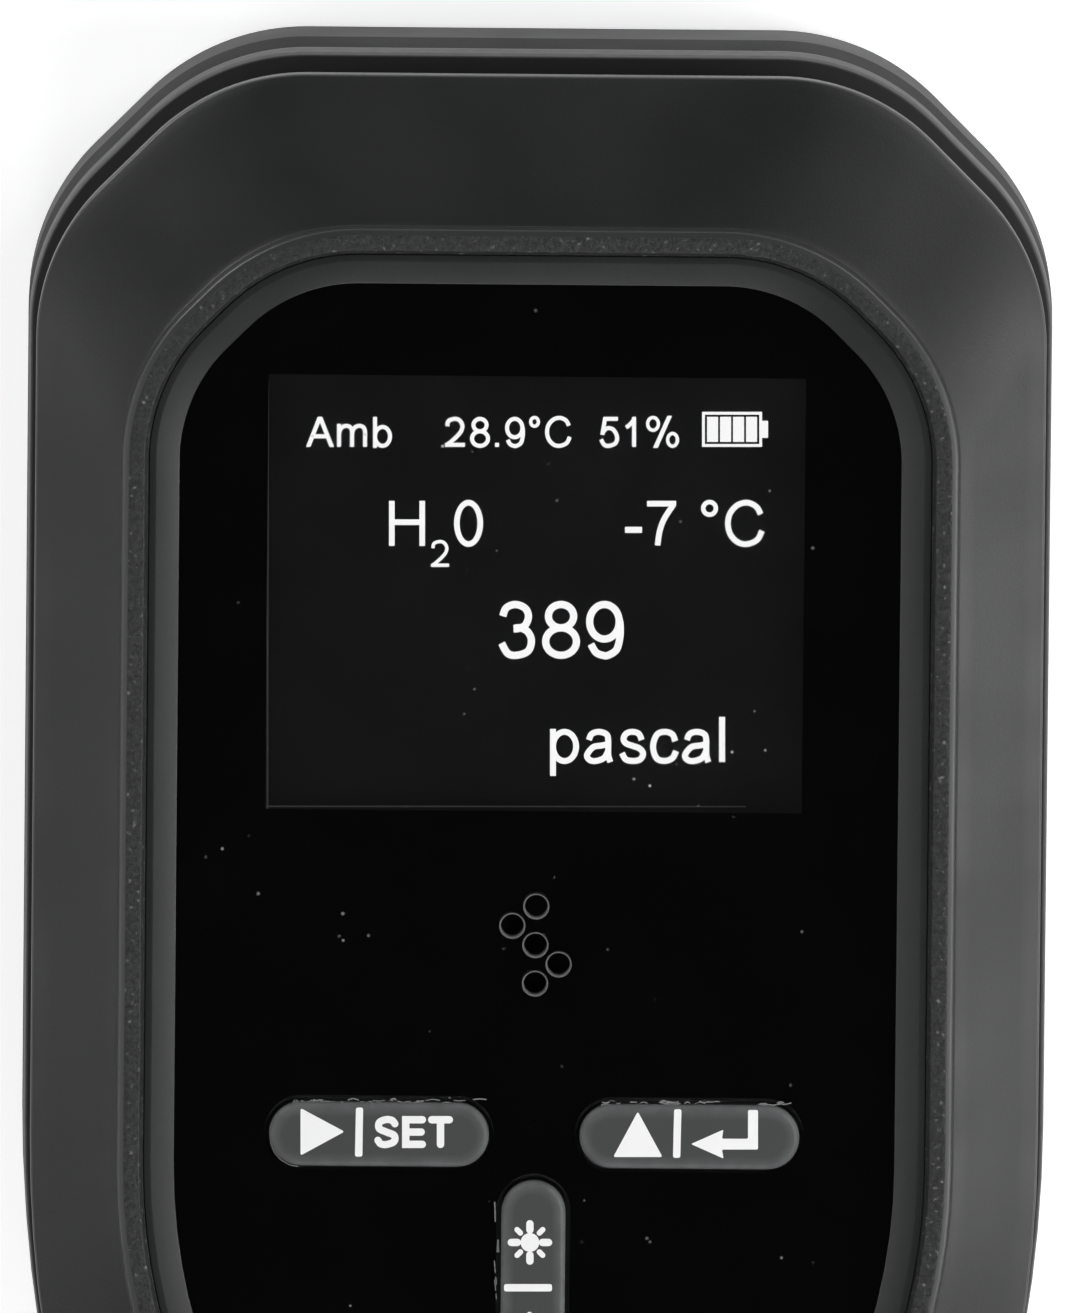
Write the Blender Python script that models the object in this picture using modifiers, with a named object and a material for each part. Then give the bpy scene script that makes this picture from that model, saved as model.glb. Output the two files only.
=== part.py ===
"""Handheld digital vacuum gauge with a brass swivel port, lying on its back.

X runs across the gauge, +Y to its top end and +Z out of its face, in metres.
The origin is the middle of the underside of the whole gauge.
"""
import math
from collections import namedtuple

import bmesh
import bpy

# Clearances
GAP = 0.0003
KEY_CLEARANCE = 0.0003
TAIL = 0.002

# Resolution of round forms
BLEND_STEPS = 6
FLANK_STEPS = 3
HEEL_STEPS = 8
TURN_STEPS = 28
COARSE_STEPS = 16
STADIUM_STEPS = 7

# Housing outline
BODY_HALF_WIDTH = 0.03365
BODY_LENGTH = 0.1132
BODY_CHAMFER = 0.0121
BODY_BLEND = 0.0148
BODY_TAPER = 0.0422
BODY_FLANK_RADIUS = 0.0856
BODY_HEEL_SHARE = 0.67
PORT_REACH = 0.020
EDGE_LIP = 0.0006

# Crest outline: it follows the housing across the slope, and the lens and its frame follow it
SLOPE_SIDE = 0.0063
SLOPE_TOP = 0.01015
SLOPE_END = 0.0101
CREST_CHAMFER_LESS = 0.0025
CREST_BLEND_LESS = 0.0008
CREST_TAPER_LESS = 0.0012
CREST_FLANK_RADIUS = 0.042
CREST_HEEL_SHARE = 0.80
CREST_WIDTH = 0.0015

# Heights of the housing
FLOOR = 0.002
REAR_ROUND = 0.0026
REAR_BREAK_Z = 0.0076
REAR_RIM_Z = 0.0110
REAR_RIM_INSET = 0.0003
REAR_WALL = 0.0020
FACET_SHARE = 0.29
FLOOR_FILLET = 0.0012
SEAL_HEIGHT = 0.0039
EDGE_Z = 0.0220
EDGE_ROOT = 0.0016
GROOVE_DEPTH = 0.0017
SKIRT_WALL = 0.0019
SKIRT_CORNER = 0.0020
CREST_RISE = 0.0046
SLOPE_DROP = 0.0009
ROOF = 0.0034
ROOF_OUTSET = 0.0003
LEDGE_ROOT = 0.0010

# Rounded sections as inset and rise: the rolled edge from EDGE_Z, the crest from its top, the seal
# from its underside
EDGE_ROLL = ((0.00075, -0.0008), (0.0006, -0.0003), (0.00072, 0.0001), (0.0013, 0.00045))
CREST_ROLL = (
    (0.0, -SLOPE_DROP),
    (0.00025, -0.00035),
    (0.0007, 0.0),
    (CREST_WIDTH - 0.0003, -0.0001),
    (CREST_WIDTH, -0.0006),
)
SEAL_ROLL = (
    (0.00028, 0.0),
    (0.00013, 0.0006),
    (0.00008, 0.0016),
    (0.00020, 0.0028),
    (0.00048, SEAL_HEIGHT - 0.0002),
    (0.00075, SEAL_HEIGHT),
)

# Lens and its seat
LENS_DROP = 0.0016
LENS_THICK = 0.0012
TAPE_THICK = 0.0004
TAPE_WIDTH = 0.0020
LEDGE_THICK = 0.0016
LEDGE_REACH = 0.0054
FRAME_WALL = 0.0008
FRAME_REACH = 0.00375
FRAME_LIP = 0.0003
FRAME_BEVEL = 0.0005
FRAME_EDGE = 0.0001

# Sound holes: centre to centre distance, radius and places in the pattern
HOLE_RADIUS = 0.00086
HOLE_PITCH_X = 0.00155
HOLE_PITCH_Y = 0.00127
HOLE_ROW_GAP = 0.0064
HOLE_PATTERN = ((0, 2), (-1, 1), (0, 0), (1, -1), (0, -2))

# Keys
KEY_LENGTH = 0.0144
KEY_WIDTH = 0.0042
KEY_PROUD = 0.0006
KEY_DOME = 0.00035
KEY_SPREAD = 0.01017
KEY_ROW_GAP = 0.0123
KEY_LIGHT_GAP = 0.0102
KEY_FLANGE = 0.0010
KEY_FLANGE_THICK = 0.0006
KEY_TRAVEL = 0.0007
KEY_OVERTRAVEL = 0.0001
STEM_LENGTH = 0.0090
STEM_WIDTH = 0.0030
PILL_THICK = 0.0003
PILL_MARGIN = 0.0003
MAT_THICK = 0.0008
MAT_WALL = 0.0007
MAT_BORDER = 0.0010
MAT_MARGIN = 0.0030
MAT_CORNER = 0.0025

# Display
DISPLAY_WIDTH = 0.0467
DISPLAY_HEIGHT = 0.0340
DISPLAY_TOP_DOWN = 0.0169
DISPLAY_TRAY_THICK = 0.0015
DISPLAY_GLASS_THICK = 0.0006
DISPLAY_GLASS_WIDTH = 0.0410
DISPLAY_GLASS_HEIGHT = 0.0325
DISPLAY_CORNER = 0.0006

# Main board
BOARD_THICK = 0.0016
BOARD_SPACE = 0.0005
BOARD_TOP_DOWN = 0.0165
BOARD_END_RISE = 0.0156
BOARD_CORNER = 0.0030
BUZZER_RADIUS = 0.0048
BUZZER_HEIGHT = 0.0032
BUZZER_PORT = 0.0010
BUZZER_CHAMFER = 0.0004
CHIP_SIZE = 0.0100
CHIP_THICK = 0.0012
CHIP_CORNER = 0.0003
CHIP_DOWN = 0.0500
AMBIENT_SIZE = 0.0030
AMBIENT_THICK = 0.0010
AMBIENT_CORNER = 0.0002
AMBIENT_X = 0.0080

# Screws of the housing, set back from its sides
SCREW_TOP_SETBACK = 0.01065
SCREW_TOP_DOWN = 0.0125
SCREW_LOW_SETBACK = 0.0074
SCREW_LOW_RISE = 0.0246
BOSS_RADIUS = 0.0029
BOSS_SINK = 0.00055
SCREW_RADIUS = 0.00125
SCREW_HEAD_RADIUS = 0.0022
SCREW_HEAD_THICK = 0.0016
SCREW_HEAD_Z = 0.0040
SCREW_LENGTH = 0.0150
SCREW_SOCKET = 0.0008
SCREW_SOCKET_DEPTH = 0.0009
SOCKET_SHARE = 0.6
TIP_SHARE = 0.6
HEAD_SIDE_SHARE = 0.4
HEAD_FACE_SHARE = 0.75

# Batteries and their bay
BATTERY_RADIUS = 0.00525
BATTERY_LENGTH = 0.0445
BATTERY_NUB_RADIUS = 0.0019
BATTERY_NUB = 0.0010
BATTERY_CHAMFER = 0.0004
BATTERY_PITCH = 0.0109
BAY_END_RISE = 0.0337
BAY_WALL = 0.0013
PLATE_THICK = 0.0004
PLATE_HEIGHT = 0.0080
PLATE_WIDTH = 0.0085
PLATE_CORNER = 0.0008
SPRING_LENGTH = 0.0036
SPRING_WIRE = 0.00035
SPRING_BASE = 0.0036
SPRING_TIP = 0.0019
SPRING_TURNS = 3
SPRING_POINTS = 11

# Battery door
DOOR_THICK = 0.00155
DOOR_SINK = 0.00015
DOOR_MARGIN = 0.0015
DOOR_TOP_MARGIN = 0.0012
DOOR_FOOT = 0.0085
DOOR_CORNER = 0.0025
DOOR_FRAME = 0.0020
DOOR_FRAME_RISE = 0.0016
TONGUE_WIDTH = 0.0040
TONGUE_REACH = 0.0015
TONGUE_THICK = 0.0008
TONGUE_DROP = 0.0002
TONGUE_X = 0.0100
RIB_COUNT = 5
RIB_PITCH = 0.0016
RIB_WIDTH = 0.0008
RIB_DEPTH = 0.0004
RIB_LENGTH = 0.0160
RIB_OFFSET = 0.0120
DOOR_SCREW_EDGE = 0.0042
DOOR_SCREW_LENGTH = 0.0062
DOOR_HEAD_RADIUS = 0.0021
DOOR_HEAD_THICK = 0.0009
DOOR_POST_RADIUS = 0.0034
DOOR_POST_HEIGHT = 0.0090

# Vacuum port, measured along its axis outwards from the end of the housing
PORT_Z = 0.0105
PORT_BORE = 0.0016
PORT_FLANGE_RADIUS = 0.0072
PORT_FLANGE_THICK = 0.0030
PORT_NECK_RADIUS = 0.0060
PORT_COLLAR_RADIUS = 0.0080
PORT_COLLAR_THICK = 0.0020
PORT_COLLAR_CHAMFER = 0.0003
PORT_SHANK_RADIUS = 0.0042
PORT_SHANK_LENGTH = 0.0057
PORT_HEAD_RADIUS = 0.0050
PORT_HEAD_LENGTH = 0.0025
PORT_CONE = 0.0018
RING_WIDTH = 0.0009
RING_LENGTH = 0.0016
CLIP_THICK = 0.0003
CLIP_WIDTH = 0.0007
NUT_ACROSS_FLATS = 0.0159
NUT_BORE = 0.0056
NUT_CHAMFER = 0.0012
NUT_RIM = 0.0004
FLARE_THICK = 0.0006
PIN_RADIUS = 0.0007
PIN_HEAD_THICK = 0.0010
PIN_LENGTH = 0.0062
PIN_PROUD = 0.0022
SENSOR_RADIUS = 0.0045
SENSOR_LENGTH = 0.0073
SENSOR_STEP = 0.0010
SENSOR_RIM = 0.0006
SENSOR_BOARD_WIDTH = 0.0150
SENSOR_BOARD_HEIGHT = 0.0098
SENSOR_BOARD_THICK = 0.0012
SENSOR_BOARD_CORNER = 0.0008
HEADER_WIDTH = 0.0080
HEADER_LENGTH = 0.0032
HEADER_HEIGHT = 0.0038
HEADER_CORNER = 0.0003

# Places worked out from the sizes above
OVERALL_LENGTH = BODY_LENGTH + PORT_REACH
TOP_Y = OVERALL_LENGTH / 2
END_Y = TOP_Y - BODY_LENGTH
SEAL_Z = REAR_RIM_Z + GAP
SKIRT_Z = SEAL_Z + SEAL_HEIGHT + GAP
CREST_Z = EDGE_Z + CREST_RISE
LENS_TOP_Z = CREST_Z - LENS_DROP
LENS_Z = LENS_TOP_Z - LENS_THICK
TAPE_Z = LENS_Z - GAP - TAPE_THICK
LEDGE_TOP_Z = TAPE_Z - GAP
LEDGE_Z = LEDGE_TOP_Z - LEDGE_THICK
GLASS_Z = LEDGE_Z - GAP - DISPLAY_GLASS_THICK
TRAY_Z = GLASS_Z - GAP - DISPLAY_TRAY_THICK
BOARD_TOP_Z = TRAY_Z - GAP
BOARD_Z = BOARD_TOP_Z - BOARD_THICK
FLANGE_TOP_Z = LENS_Z - GAP
FLANGE_Z = FLANGE_TOP_Z - KEY_FLANGE_THICK
PILL_Z = BOARD_TOP_Z + KEY_TRAVEL + KEY_OVERTRAVEL
STEM_Z = PILL_Z + PILL_THICK + GAP
SKIRT_INSET = GROOVE_DEPTH + SKIRT_WALL
FRAME_INSET = CREST_WIDTH + GAP
LENS_INSET = FRAME_INSET + FRAME_WALL + GAP
DOOR_TOP_Z = DOOR_SINK + DOOR_THICK
BATTERY_Z = DOOR_TOP_Z + GAP + BATTERY_RADIUS
BAY_TOP_Z = BATTERY_Z + BATTERY_RADIUS + GAP
BAY_HALF_WIDTH = BATTERY_PITCH + BATTERY_RADIUS + GAP
CELL_LENGTH = BATTERY_LENGTH + BATTERY_NUB
BAY_LENGTH = CELL_LENGTH + SPRING_LENGTH + 2 * PLATE_THICK + 5 * GAP
BAY_END_Y = END_Y + BAY_END_RISE
BAY_TOP_Y = BAY_END_Y + BAY_LENGTH
BOSS_TOP_Z = LEDGE_TOP_Z - BOSS_SINK / 2
DISPLAY_DOWN = DISPLAY_TOP_DOWN + DISPLAY_HEIGHT / 2
HOLE_ROW_DOWN = DISPLAY_DOWN + DISPLAY_HEIGHT / 2 + HOLE_ROW_GAP
KEY_ROW_DOWN = HOLE_ROW_DOWN + KEY_ROW_GAP
KEY_LIGHT_DOWN = KEY_ROW_DOWN + KEY_LIGHT_GAP
HOLE_RADIUS_SCREW = SCREW_RADIUS + GAP
NUT_START = GAP + PORT_COLLAR_THICK + GAP
SHANK_END = GAP + PORT_COLLAR_THICK + PORT_SHANK_LENGTH
HEAD_END = SHANK_END + PORT_HEAD_LENGTH
CONE_END = HEAD_END + PORT_CONE
FLANGE_START = -(SKIRT_INSET + GAP + PORT_FLANGE_THICK)

Shape = namedtuple("Shape", "half top end chamfer blend shoulder flank heel")
BODY = Shape(
    BODY_HALF_WIDTH, TOP_Y, END_Y, BODY_CHAMFER, BODY_BLEND,
    END_Y + BODY_TAPER, BODY_FLANK_RADIUS, BODY_HALF_WIDTH * BODY_HEEL_SHARE,
)
CREST_HALF_WIDTH = BODY.half - SLOPE_SIDE
CREST = Shape(
    CREST_HALF_WIDTH, BODY.top - SLOPE_TOP, BODY.end + SLOPE_END,
    BODY.chamfer - CREST_CHAMFER_LESS, BODY.blend - CREST_BLEND_LESS,
    BODY.shoulder - CREST_TAPER_LESS, CREST_FLANK_RADIUS, CREST_HALF_WIDTH * CREST_HEEL_SHARE,
)


def below(distance):
    """Y at a distance below the top edge of the front shell."""
    return TOP_Y - EDGE_LIP - distance


def half_width_at(y):
    """Half the housing's width where its sides are straight or on their flanks."""
    fall = max(BODY.shoulder - y, 0.0)
    return BODY.half - BODY.flank + math.sqrt(BODY.flank ** 2 - fall ** 2)


SCREW_TOP_Y = below(SCREW_TOP_DOWN)
SCREW_TOP_X = half_width_at(SCREW_TOP_Y) - SCREW_TOP_SETBACK
SCREW_LOW_Y = END_Y + SCREW_LOW_RISE
SCREW_LOW_X = half_width_at(SCREW_LOW_Y) - SCREW_LOW_SETBACK
BOARD_HALF_WIDTH = SCREW_LOW_X - BOSS_RADIUS - BOARD_SPACE
MAT_HALF_WIDTH = BOARD_HALF_WIDTH - MAT_BORDER


def clear_scene():
    for obj in list(bpy.data.objects):
        bpy.data.objects.remove(obj, do_unlink=True)


def new_collection(name):
    group = bpy.data.collections.new(name)
    bpy.context.scene.collection.children.link(group)
    return group


def finish(name, colour, roughness, metallic=0.0):
    """A plain Principled material."""
    mat = bpy.data.materials.new(name)
    mat.use_nodes = True
    shader = mat.node_tree.nodes["Principled BSDF"]
    shader.inputs["Base Color"].default_value = (*colour, 1.0)
    shader.inputs["Roughness"].default_value = roughness
    shader.inputs["Metallic"].default_value = metallic
    return mat


def arc(centre_x, centre_y, radius, start, end, steps):
    """Points on an arc between two angles in degrees, both ends included."""
    points = []
    for i in range(steps + 1):
        angle = math.radians(start + (end - start) * i / steps)
        points.append((centre_x + radius * math.cos(angle), centre_y + radius * math.sin(angle)))
    return points


def outline(shape, inset):
    """The housing's outline moved inwards: blended chamfers above and a rounded heel below."""
    half = shape.half - inset
    top = shape.top - inset
    end = shape.end + inset
    chamfer = shape.chamfer - (2 - math.sqrt(2)) * inset
    blend = shape.blend - inset
    flank = shape.flank - inset
    heel = shape.heel - inset
    tangent = blend * math.tan(math.radians(22.5))
    sine = (shape.shoulder - end - heel) / (flank - heel)
    turn = math.degrees(math.asin(sine))
    flank_x = half - flank
    heel_x = flank_x + (flank - heel) * math.cos(math.radians(turn))
    right = arc(half - chamfer - tangent, top - blend, blend, 90, 45, BLEND_STEPS)
    right += arc(half - blend, top - chamfer - tangent, blend, 45, 0, BLEND_STEPS)
    right += arc(flank_x, shape.shoulder, flank, 0, -turn, FLANK_STEPS)
    right += arc(heel_x, end + heel, heel, -turn, -90, HEEL_STEPS)[1:]
    left = [(-x, y) for x, y in reversed(right)]
    return right + left


def stadium(length, width):
    """A slot outline along X with half-round ends."""
    radius = width / 2
    reach = length / 2 - radius
    points = arc(reach, 0.0, radius, -90, 90, STADIUM_STEPS)
    points += arc(-reach, 0.0, radius, 90, 270, STADIUM_STEPS)
    return points


def round_rectangle(width, height, radius, steps=4):
    x = width / 2 - radius
    y = height / 2 - radius
    points = arc(x, y, radius, 0, 90, steps)
    points += arc(-x, y, radius, 90, 180, steps)
    points += arc(-x, -y, radius, 180, 270, steps)
    points += arc(x, -y, radius, 270, 360, steps)
    return points


def place(obj, group, mat, location=(0.0, 0.0, 0.0), turn=(0.0, 0.0, 0.0)):
    group.objects.link(obj)
    obj.location = location
    obj.rotation_euler = turn
    if mat is not None:
        obj.data.materials.append(mat)
    return obj


def loft(name, rings, closed=False):
    """A skin through rings of equal point counts, capped, or closed on itself as a frame."""
    bm = bmesh.new()
    loops = [[bm.verts.new((x, y, z)) for x, y in points] for points, z in rings]
    pairs = list(zip(loops, loops[1:]))
    if closed:
        pairs.append((loops[-1], loops[0]))
    else:
        bm.faces.new(loops[0])
        bm.faces.new(loops[-1])
    for lower, upper in pairs:
        for i in range(len(lower)):
            j = (i + 1) % len(lower)
            bm.faces.new((lower[i], lower[j], upper[j], upper[i]))
    bmesh.ops.recalc_face_normals(bm, faces=bm.faces)
    mesh = bpy.data.meshes.new(name)
    bm.to_mesh(mesh)
    bm.free()
    mesh.shade_smooth()
    mesh.set_sharp_from_angle(angle=math.radians(30))
    return bpy.data.objects.new(name, mesh)


def prism(name, points, low, high):
    return loft(name, [(points, low), (points, high)])


def turned(name, profile, steps=TURN_STEPS, ring=False):
    """A profile of radius and height turned about Z; a ring's profile closes on itself."""
    mesh = bpy.data.meshes.new(name)
    edges = [(i, i + 1) for i in range(len(profile) - 1)]
    if ring:
        edges.append((len(profile) - 1, 0))
    mesh.from_pydata([(radius, 0.0, height) for radius, height in profile], edges, [])
    obj = bpy.data.objects.new(name, mesh)
    screw = obj.modifiers.new("Turn", "SCREW")
    screw.steps = steps
    screw.render_steps = steps
    screw.use_merge_vertices = True
    screw.merge_threshold = 0.000001
    return obj


def rod(name, radius, low, high, steps=COARSE_STEPS):
    return turned(name, [(0.0, high), (radius, high), (radius, low), (0.0, low)], steps)


def cut(obj, tool, operation="DIFFERENCE"):
    modifier = obj.modifiers.new(tool.name, "BOOLEAN")
    modifier.operation = operation
    modifier.solver = "EXACT"
    modifier.object = tool


def add_tool(obj, location=(0.0, 0.0, 0.0), turn=(0.0, 0.0, 0.0)):
    """A shape that only cuts or joins other pieces."""
    place(obj, TOOLS, None, location, turn)
    obj.hide_render = True
    obj.display_type = "WIRE"
    return obj


def screw_places():
    """Name, x and y of the four housing screws."""
    places = []
    for label, x, y in (("top", SCREW_TOP_X, SCREW_TOP_Y), ("low", SCREW_LOW_X, SCREW_LOW_Y)):
        for side, sign in (("left", -1), ("right", 1)):
            places.append((f"{label}_{side}", sign * x, y))
    return places


def key_places():
    """Name, x, y and turn of the three keys."""
    return (
        ("set", -KEY_SPREAD, below(KEY_ROW_DOWN), 0.0),
        ("enter", KEY_SPREAD, below(KEY_ROW_DOWN), 0.0),
        ("light", 0.0, below(KEY_LIGHT_DOWN), math.radians(90)),
    )


def front_shell():
    """Moulded front: undercut skirt, sloping face, raised crest and the ledge that seats the lens."""
    sections = [(BODY, GROOVE_DEPTH, SKIRT_Z), (BODY, GROOVE_DEPTH, EDGE_Z - EDGE_ROOT)]
    sections += [(BODY, inset, EDGE_Z + rise) for inset, rise in EDGE_ROLL]
    sections += [(CREST, inset, CREST_Z + rise) for inset, rise in CREST_ROLL]
    sections += [
        (CREST, CREST_WIDTH, LEDGE_TOP_Z),
        (CREST, LEDGE_REACH, LEDGE_TOP_Z),
        (CREST, LEDGE_REACH, LEDGE_Z),
        (CREST, LEDGE_ROOT, LEDGE_Z),
        (CREST, -ROOF_OUTSET, CREST_Z - SLOPE_DROP - ROOF),
        (BODY, SKIRT_INSET, EDGE_Z - SKIRT_CORNER),
        (BODY, SKIRT_INSET, SKIRT_Z),
    ]
    shell = loft("front_shell", [(outline(shape, inset), z) for shape, inset, z in sections], True)
    place(shell, PARTS, ABS_BLACK)
    for label, x, y in screw_places():
        boss = add_tool(rod(f"front_boss_{label}", BOSS_RADIUS, SKIRT_Z, BOSS_TOP_Z), (x, y, 0.0))
        cut(shell, boss, "UNION")
    for label, x, y in screw_places():
        top = SCREW_HEAD_Z + SCREW_LENGTH + GAP
        hole = add_tool(rod(f"front_pilot_{label}", HOLE_RADIUS_SCREW, SKIRT_Z - TAIL, top), (x, y, 0.0))
        cut(shell, hole)
    cut(shell, PORT_HOLE)


def lens_frame():
    """Bevelled bezel that runs round the lens and laps over its edge."""
    lip_z = LENS_TOP_Z + GAP
    inner_z = lip_z + FRAME_LIP
    outer_z = inner_z + FRAME_BEVEL
    inner_wall = FRAME_INSET + FRAME_WALL
    sections = (
        (FRAME_INSET, LEDGE_TOP_Z + GAP),
        (FRAME_INSET, outer_z - FRAME_EDGE),
        (FRAME_INSET + FRAME_EDGE, outer_z),
        (FRAME_REACH, inner_z),
        (FRAME_REACH, lip_z),
        (inner_wall, lip_z),
        (inner_wall, LEDGE_TOP_Z + GAP),
    )
    frame = loft("lens_frame", [(outline(CREST, inset), z) for inset, z in sections], True)
    place(frame, PARTS, ABS_SATIN)


def lens_tape():
    """Adhesive gasket between the ledge and the lens."""
    outer = outline(CREST, LENS_INSET)
    inner = outline(CREST, LENS_INSET + TAPE_WIDTH)
    top = TAPE_Z + TAPE_THICK
    tape = loft("lens_tape", [(outer, TAPE_Z), (outer, top), (inner, top), (inner, TAPE_Z)], True)
    place(tape, PARTS, FOAM_BLACK)


def lens_panel():
    """Flat panel with three key openings and five sound holes."""
    panel = prism("lens_panel", outline(CREST, LENS_INSET), LENS_Z, LENS_TOP_Z)
    place(panel, PARTS, LENS_BLACK)
    low = LENS_Z - TAIL
    high = LENS_TOP_Z + TAIL
    length = KEY_LENGTH + 2 * KEY_CLEARANCE
    width = KEY_WIDTH + 2 * KEY_CLEARANCE
    for label, x, y, turn in key_places():
        opening = prism(f"key_opening_{label}", stadium(length, width), low, high)
        cut(panel, add_tool(opening, (x, y, 0.0), (0.0, 0.0, turn)))
    for number, (column, row) in enumerate(HOLE_PATTERN, 1):
        x = column * HOLE_PITCH_X
        y = below(HOLE_ROW_DOWN) + row * HOLE_PITCH_Y
        hole = rod(f"sound_hole_{number}", HOLE_RADIUS, low, high)
        cut(panel, add_tool(hole, (x, y, 0.0)))


def display():
    """Backlight tray with the liquid crystal glass on top."""
    y = below(DISPLAY_DOWN)
    tray_shape = round_rectangle(DISPLAY_WIDTH, DISPLAY_HEIGHT, DISPLAY_CORNER, 2)
    tray = prism("display_tray", tray_shape, TRAY_Z, TRAY_Z + DISPLAY_TRAY_THICK)
    place(tray, PARTS, STEEL, (0.0, y, 0.0))
    glass_shape = round_rectangle(DISPLAY_GLASS_WIDTH, DISPLAY_GLASS_HEIGHT, DISPLAY_CORNER, 2)
    glass = prism("display_glass", glass_shape, GLASS_Z, GLASS_Z + DISPLAY_GLASS_THICK)
    place(glass, PARTS, LENS_BLACK, (0.0, y, 0.0))


def board():
    """Circuit board with its processor, buzzer and ambient air sensor."""
    top_y = below(BOARD_TOP_DOWN)
    end_y = END_Y + BOARD_END_RISE
    middle = (0.0, (top_y + end_y) / 2, 0.0)
    shape = round_rectangle(2 * BOARD_HALF_WIDTH, top_y - end_y, BOARD_CORNER)
    place(prism("main_board", shape, BOARD_Z, BOARD_TOP_Z), PARTS, BOARD_GREEN, middle)
    chip_shape = round_rectangle(CHIP_SIZE, CHIP_SIZE, CHIP_CORNER, 1)
    chip_top = BOARD_Z - GAP
    chip = prism("processor", chip_shape, chip_top - CHIP_THICK, chip_top)
    place(chip, PARTS, CHIP_BLACK, (0.0, below(CHIP_DOWN), 0.0))
    ambient_shape = round_rectangle(AMBIENT_SIZE, AMBIENT_SIZE, AMBIENT_CORNER, 1)
    low = BOARD_TOP_Z + GAP
    ambient = prism("ambient_sensor", ambient_shape, low, low + AMBIENT_THICK)
    place(ambient, PARTS, CHIP_BLACK, (AMBIENT_X, below(HOLE_ROW_DOWN), 0.0))
    top = low + BUZZER_HEIGHT
    profile = (
        (0.0, top - BUZZER_CHAMFER),
        (BUZZER_PORT, top - BUZZER_CHAMFER),
        (BUZZER_PORT, top),
        (BUZZER_RADIUS - BUZZER_CHAMFER, top),
        (BUZZER_RADIUS, top - BUZZER_CHAMFER),
        (BUZZER_RADIUS, low),
        (0.0, low),
    )
    place(turned("buzzer", profile), PARTS, CHIP_BLACK, (0.0, below(HOLE_ROW_DOWN), 0.0))


def key(label, x, y, turn):
    """Rubber key: domed cap, retaining flange under the lens and a stem with a carbon pill."""
    cap_z = LENS_TOP_Z + KEY_PROUD
    flange_length = KEY_LENGTH + 2 * KEY_FLANGE
    flange_width = KEY_WIDTH + 2 * KEY_FLANGE
    rings = (
        (stadium(STEM_LENGTH, STEM_WIDTH), STEM_Z),
        (stadium(STEM_LENGTH, STEM_WIDTH), FLANGE_Z),
        (stadium(flange_length, flange_width), FLANGE_Z),
        (stadium(flange_length, flange_width), FLANGE_TOP_Z),
        (stadium(KEY_LENGTH, KEY_WIDTH), FLANGE_TOP_Z),
        (stadium(KEY_LENGTH, KEY_WIDTH), cap_z - KEY_DOME),
        (stadium(KEY_LENGTH - KEY_DOME, KEY_WIDTH - KEY_DOME), cap_z - KEY_DOME / 3),
        (stadium(KEY_LENGTH - 4 * KEY_DOME, KEY_WIDTH - 4 * KEY_DOME), cap_z),
    )
    middle = (x, y, 0.0)
    place(loft(f"key_{label}", rings), PARTS, RUBBER_GREY, middle, (0.0, 0.0, turn))
    pill_shape = stadium(STEM_LENGTH - 2 * PILL_MARGIN, STEM_WIDTH - 2 * PILL_MARGIN)
    pill = prism(f"key_contact_{label}", pill_shape, PILL_Z, PILL_Z + PILL_THICK)
    place(pill, PARTS, CARBON, middle, (0.0, 0.0, turn))


def keypad_mat():
    """Silicone sheet on the board with a collar round each key's stem."""
    top = below(KEY_ROW_DOWN - KEY_WIDTH / 2 - MAT_MARGIN)
    end = below(KEY_LIGHT_DOWN + KEY_LENGTH / 2 + MAT_MARGIN)
    low = BOARD_TOP_Z + GAP
    collar_z = FLANGE_Z - KEY_TRAVEL - GAP
    mat = prism(
        "keypad_mat", round_rectangle(2 * MAT_HALF_WIDTH, top - end, MAT_CORNER), low, low + MAT_THICK
    )
    place(mat, PARTS, RUBBER_BLACK, (0.0, (top + end) / 2, 0.0))
    hole_length = STEM_LENGTH + 4 * GAP
    hole_width = STEM_WIDTH + 4 * GAP
    collar_shape = stadium(hole_length + 2 * MAT_WALL, hole_width + 2 * MAT_WALL)
    for label, x, y, turn in key_places():
        collar = prism(f"mat_collar_{label}", collar_shape, low + MAT_THICK / 2, collar_z)
        cut(mat, add_tool(collar, (x, y, 0.0), (0.0, 0.0, turn)), "UNION")
    for label, x, y, turn in key_places():
        hole = prism(f"mat_hole_{label}", stadium(hole_length, hole_width), low - TAIL, collar_z + TAIL)
        cut(mat, add_tool(hole, (x, y, 0.0), (0.0, 0.0, turn)))


def shell_seal():
    """Rubber band between the two shells, which shows as a rounded ridge."""
    inner = SKIRT_INSET - GAP
    sections = [(inner, SEAL_Z)]
    sections += [(inset, SEAL_Z + rise) for inset, rise in SEAL_ROLL]
    sections.append((inner, SEAL_Z + SEAL_HEIGHT))
    seal = loft("shell_seal", [(outline(BODY, inset), z) for inset, z in sections], True)
    place(seal, PARTS, RUBBER_BLACK)
    cut(seal, PORT_HOLE)


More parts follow.
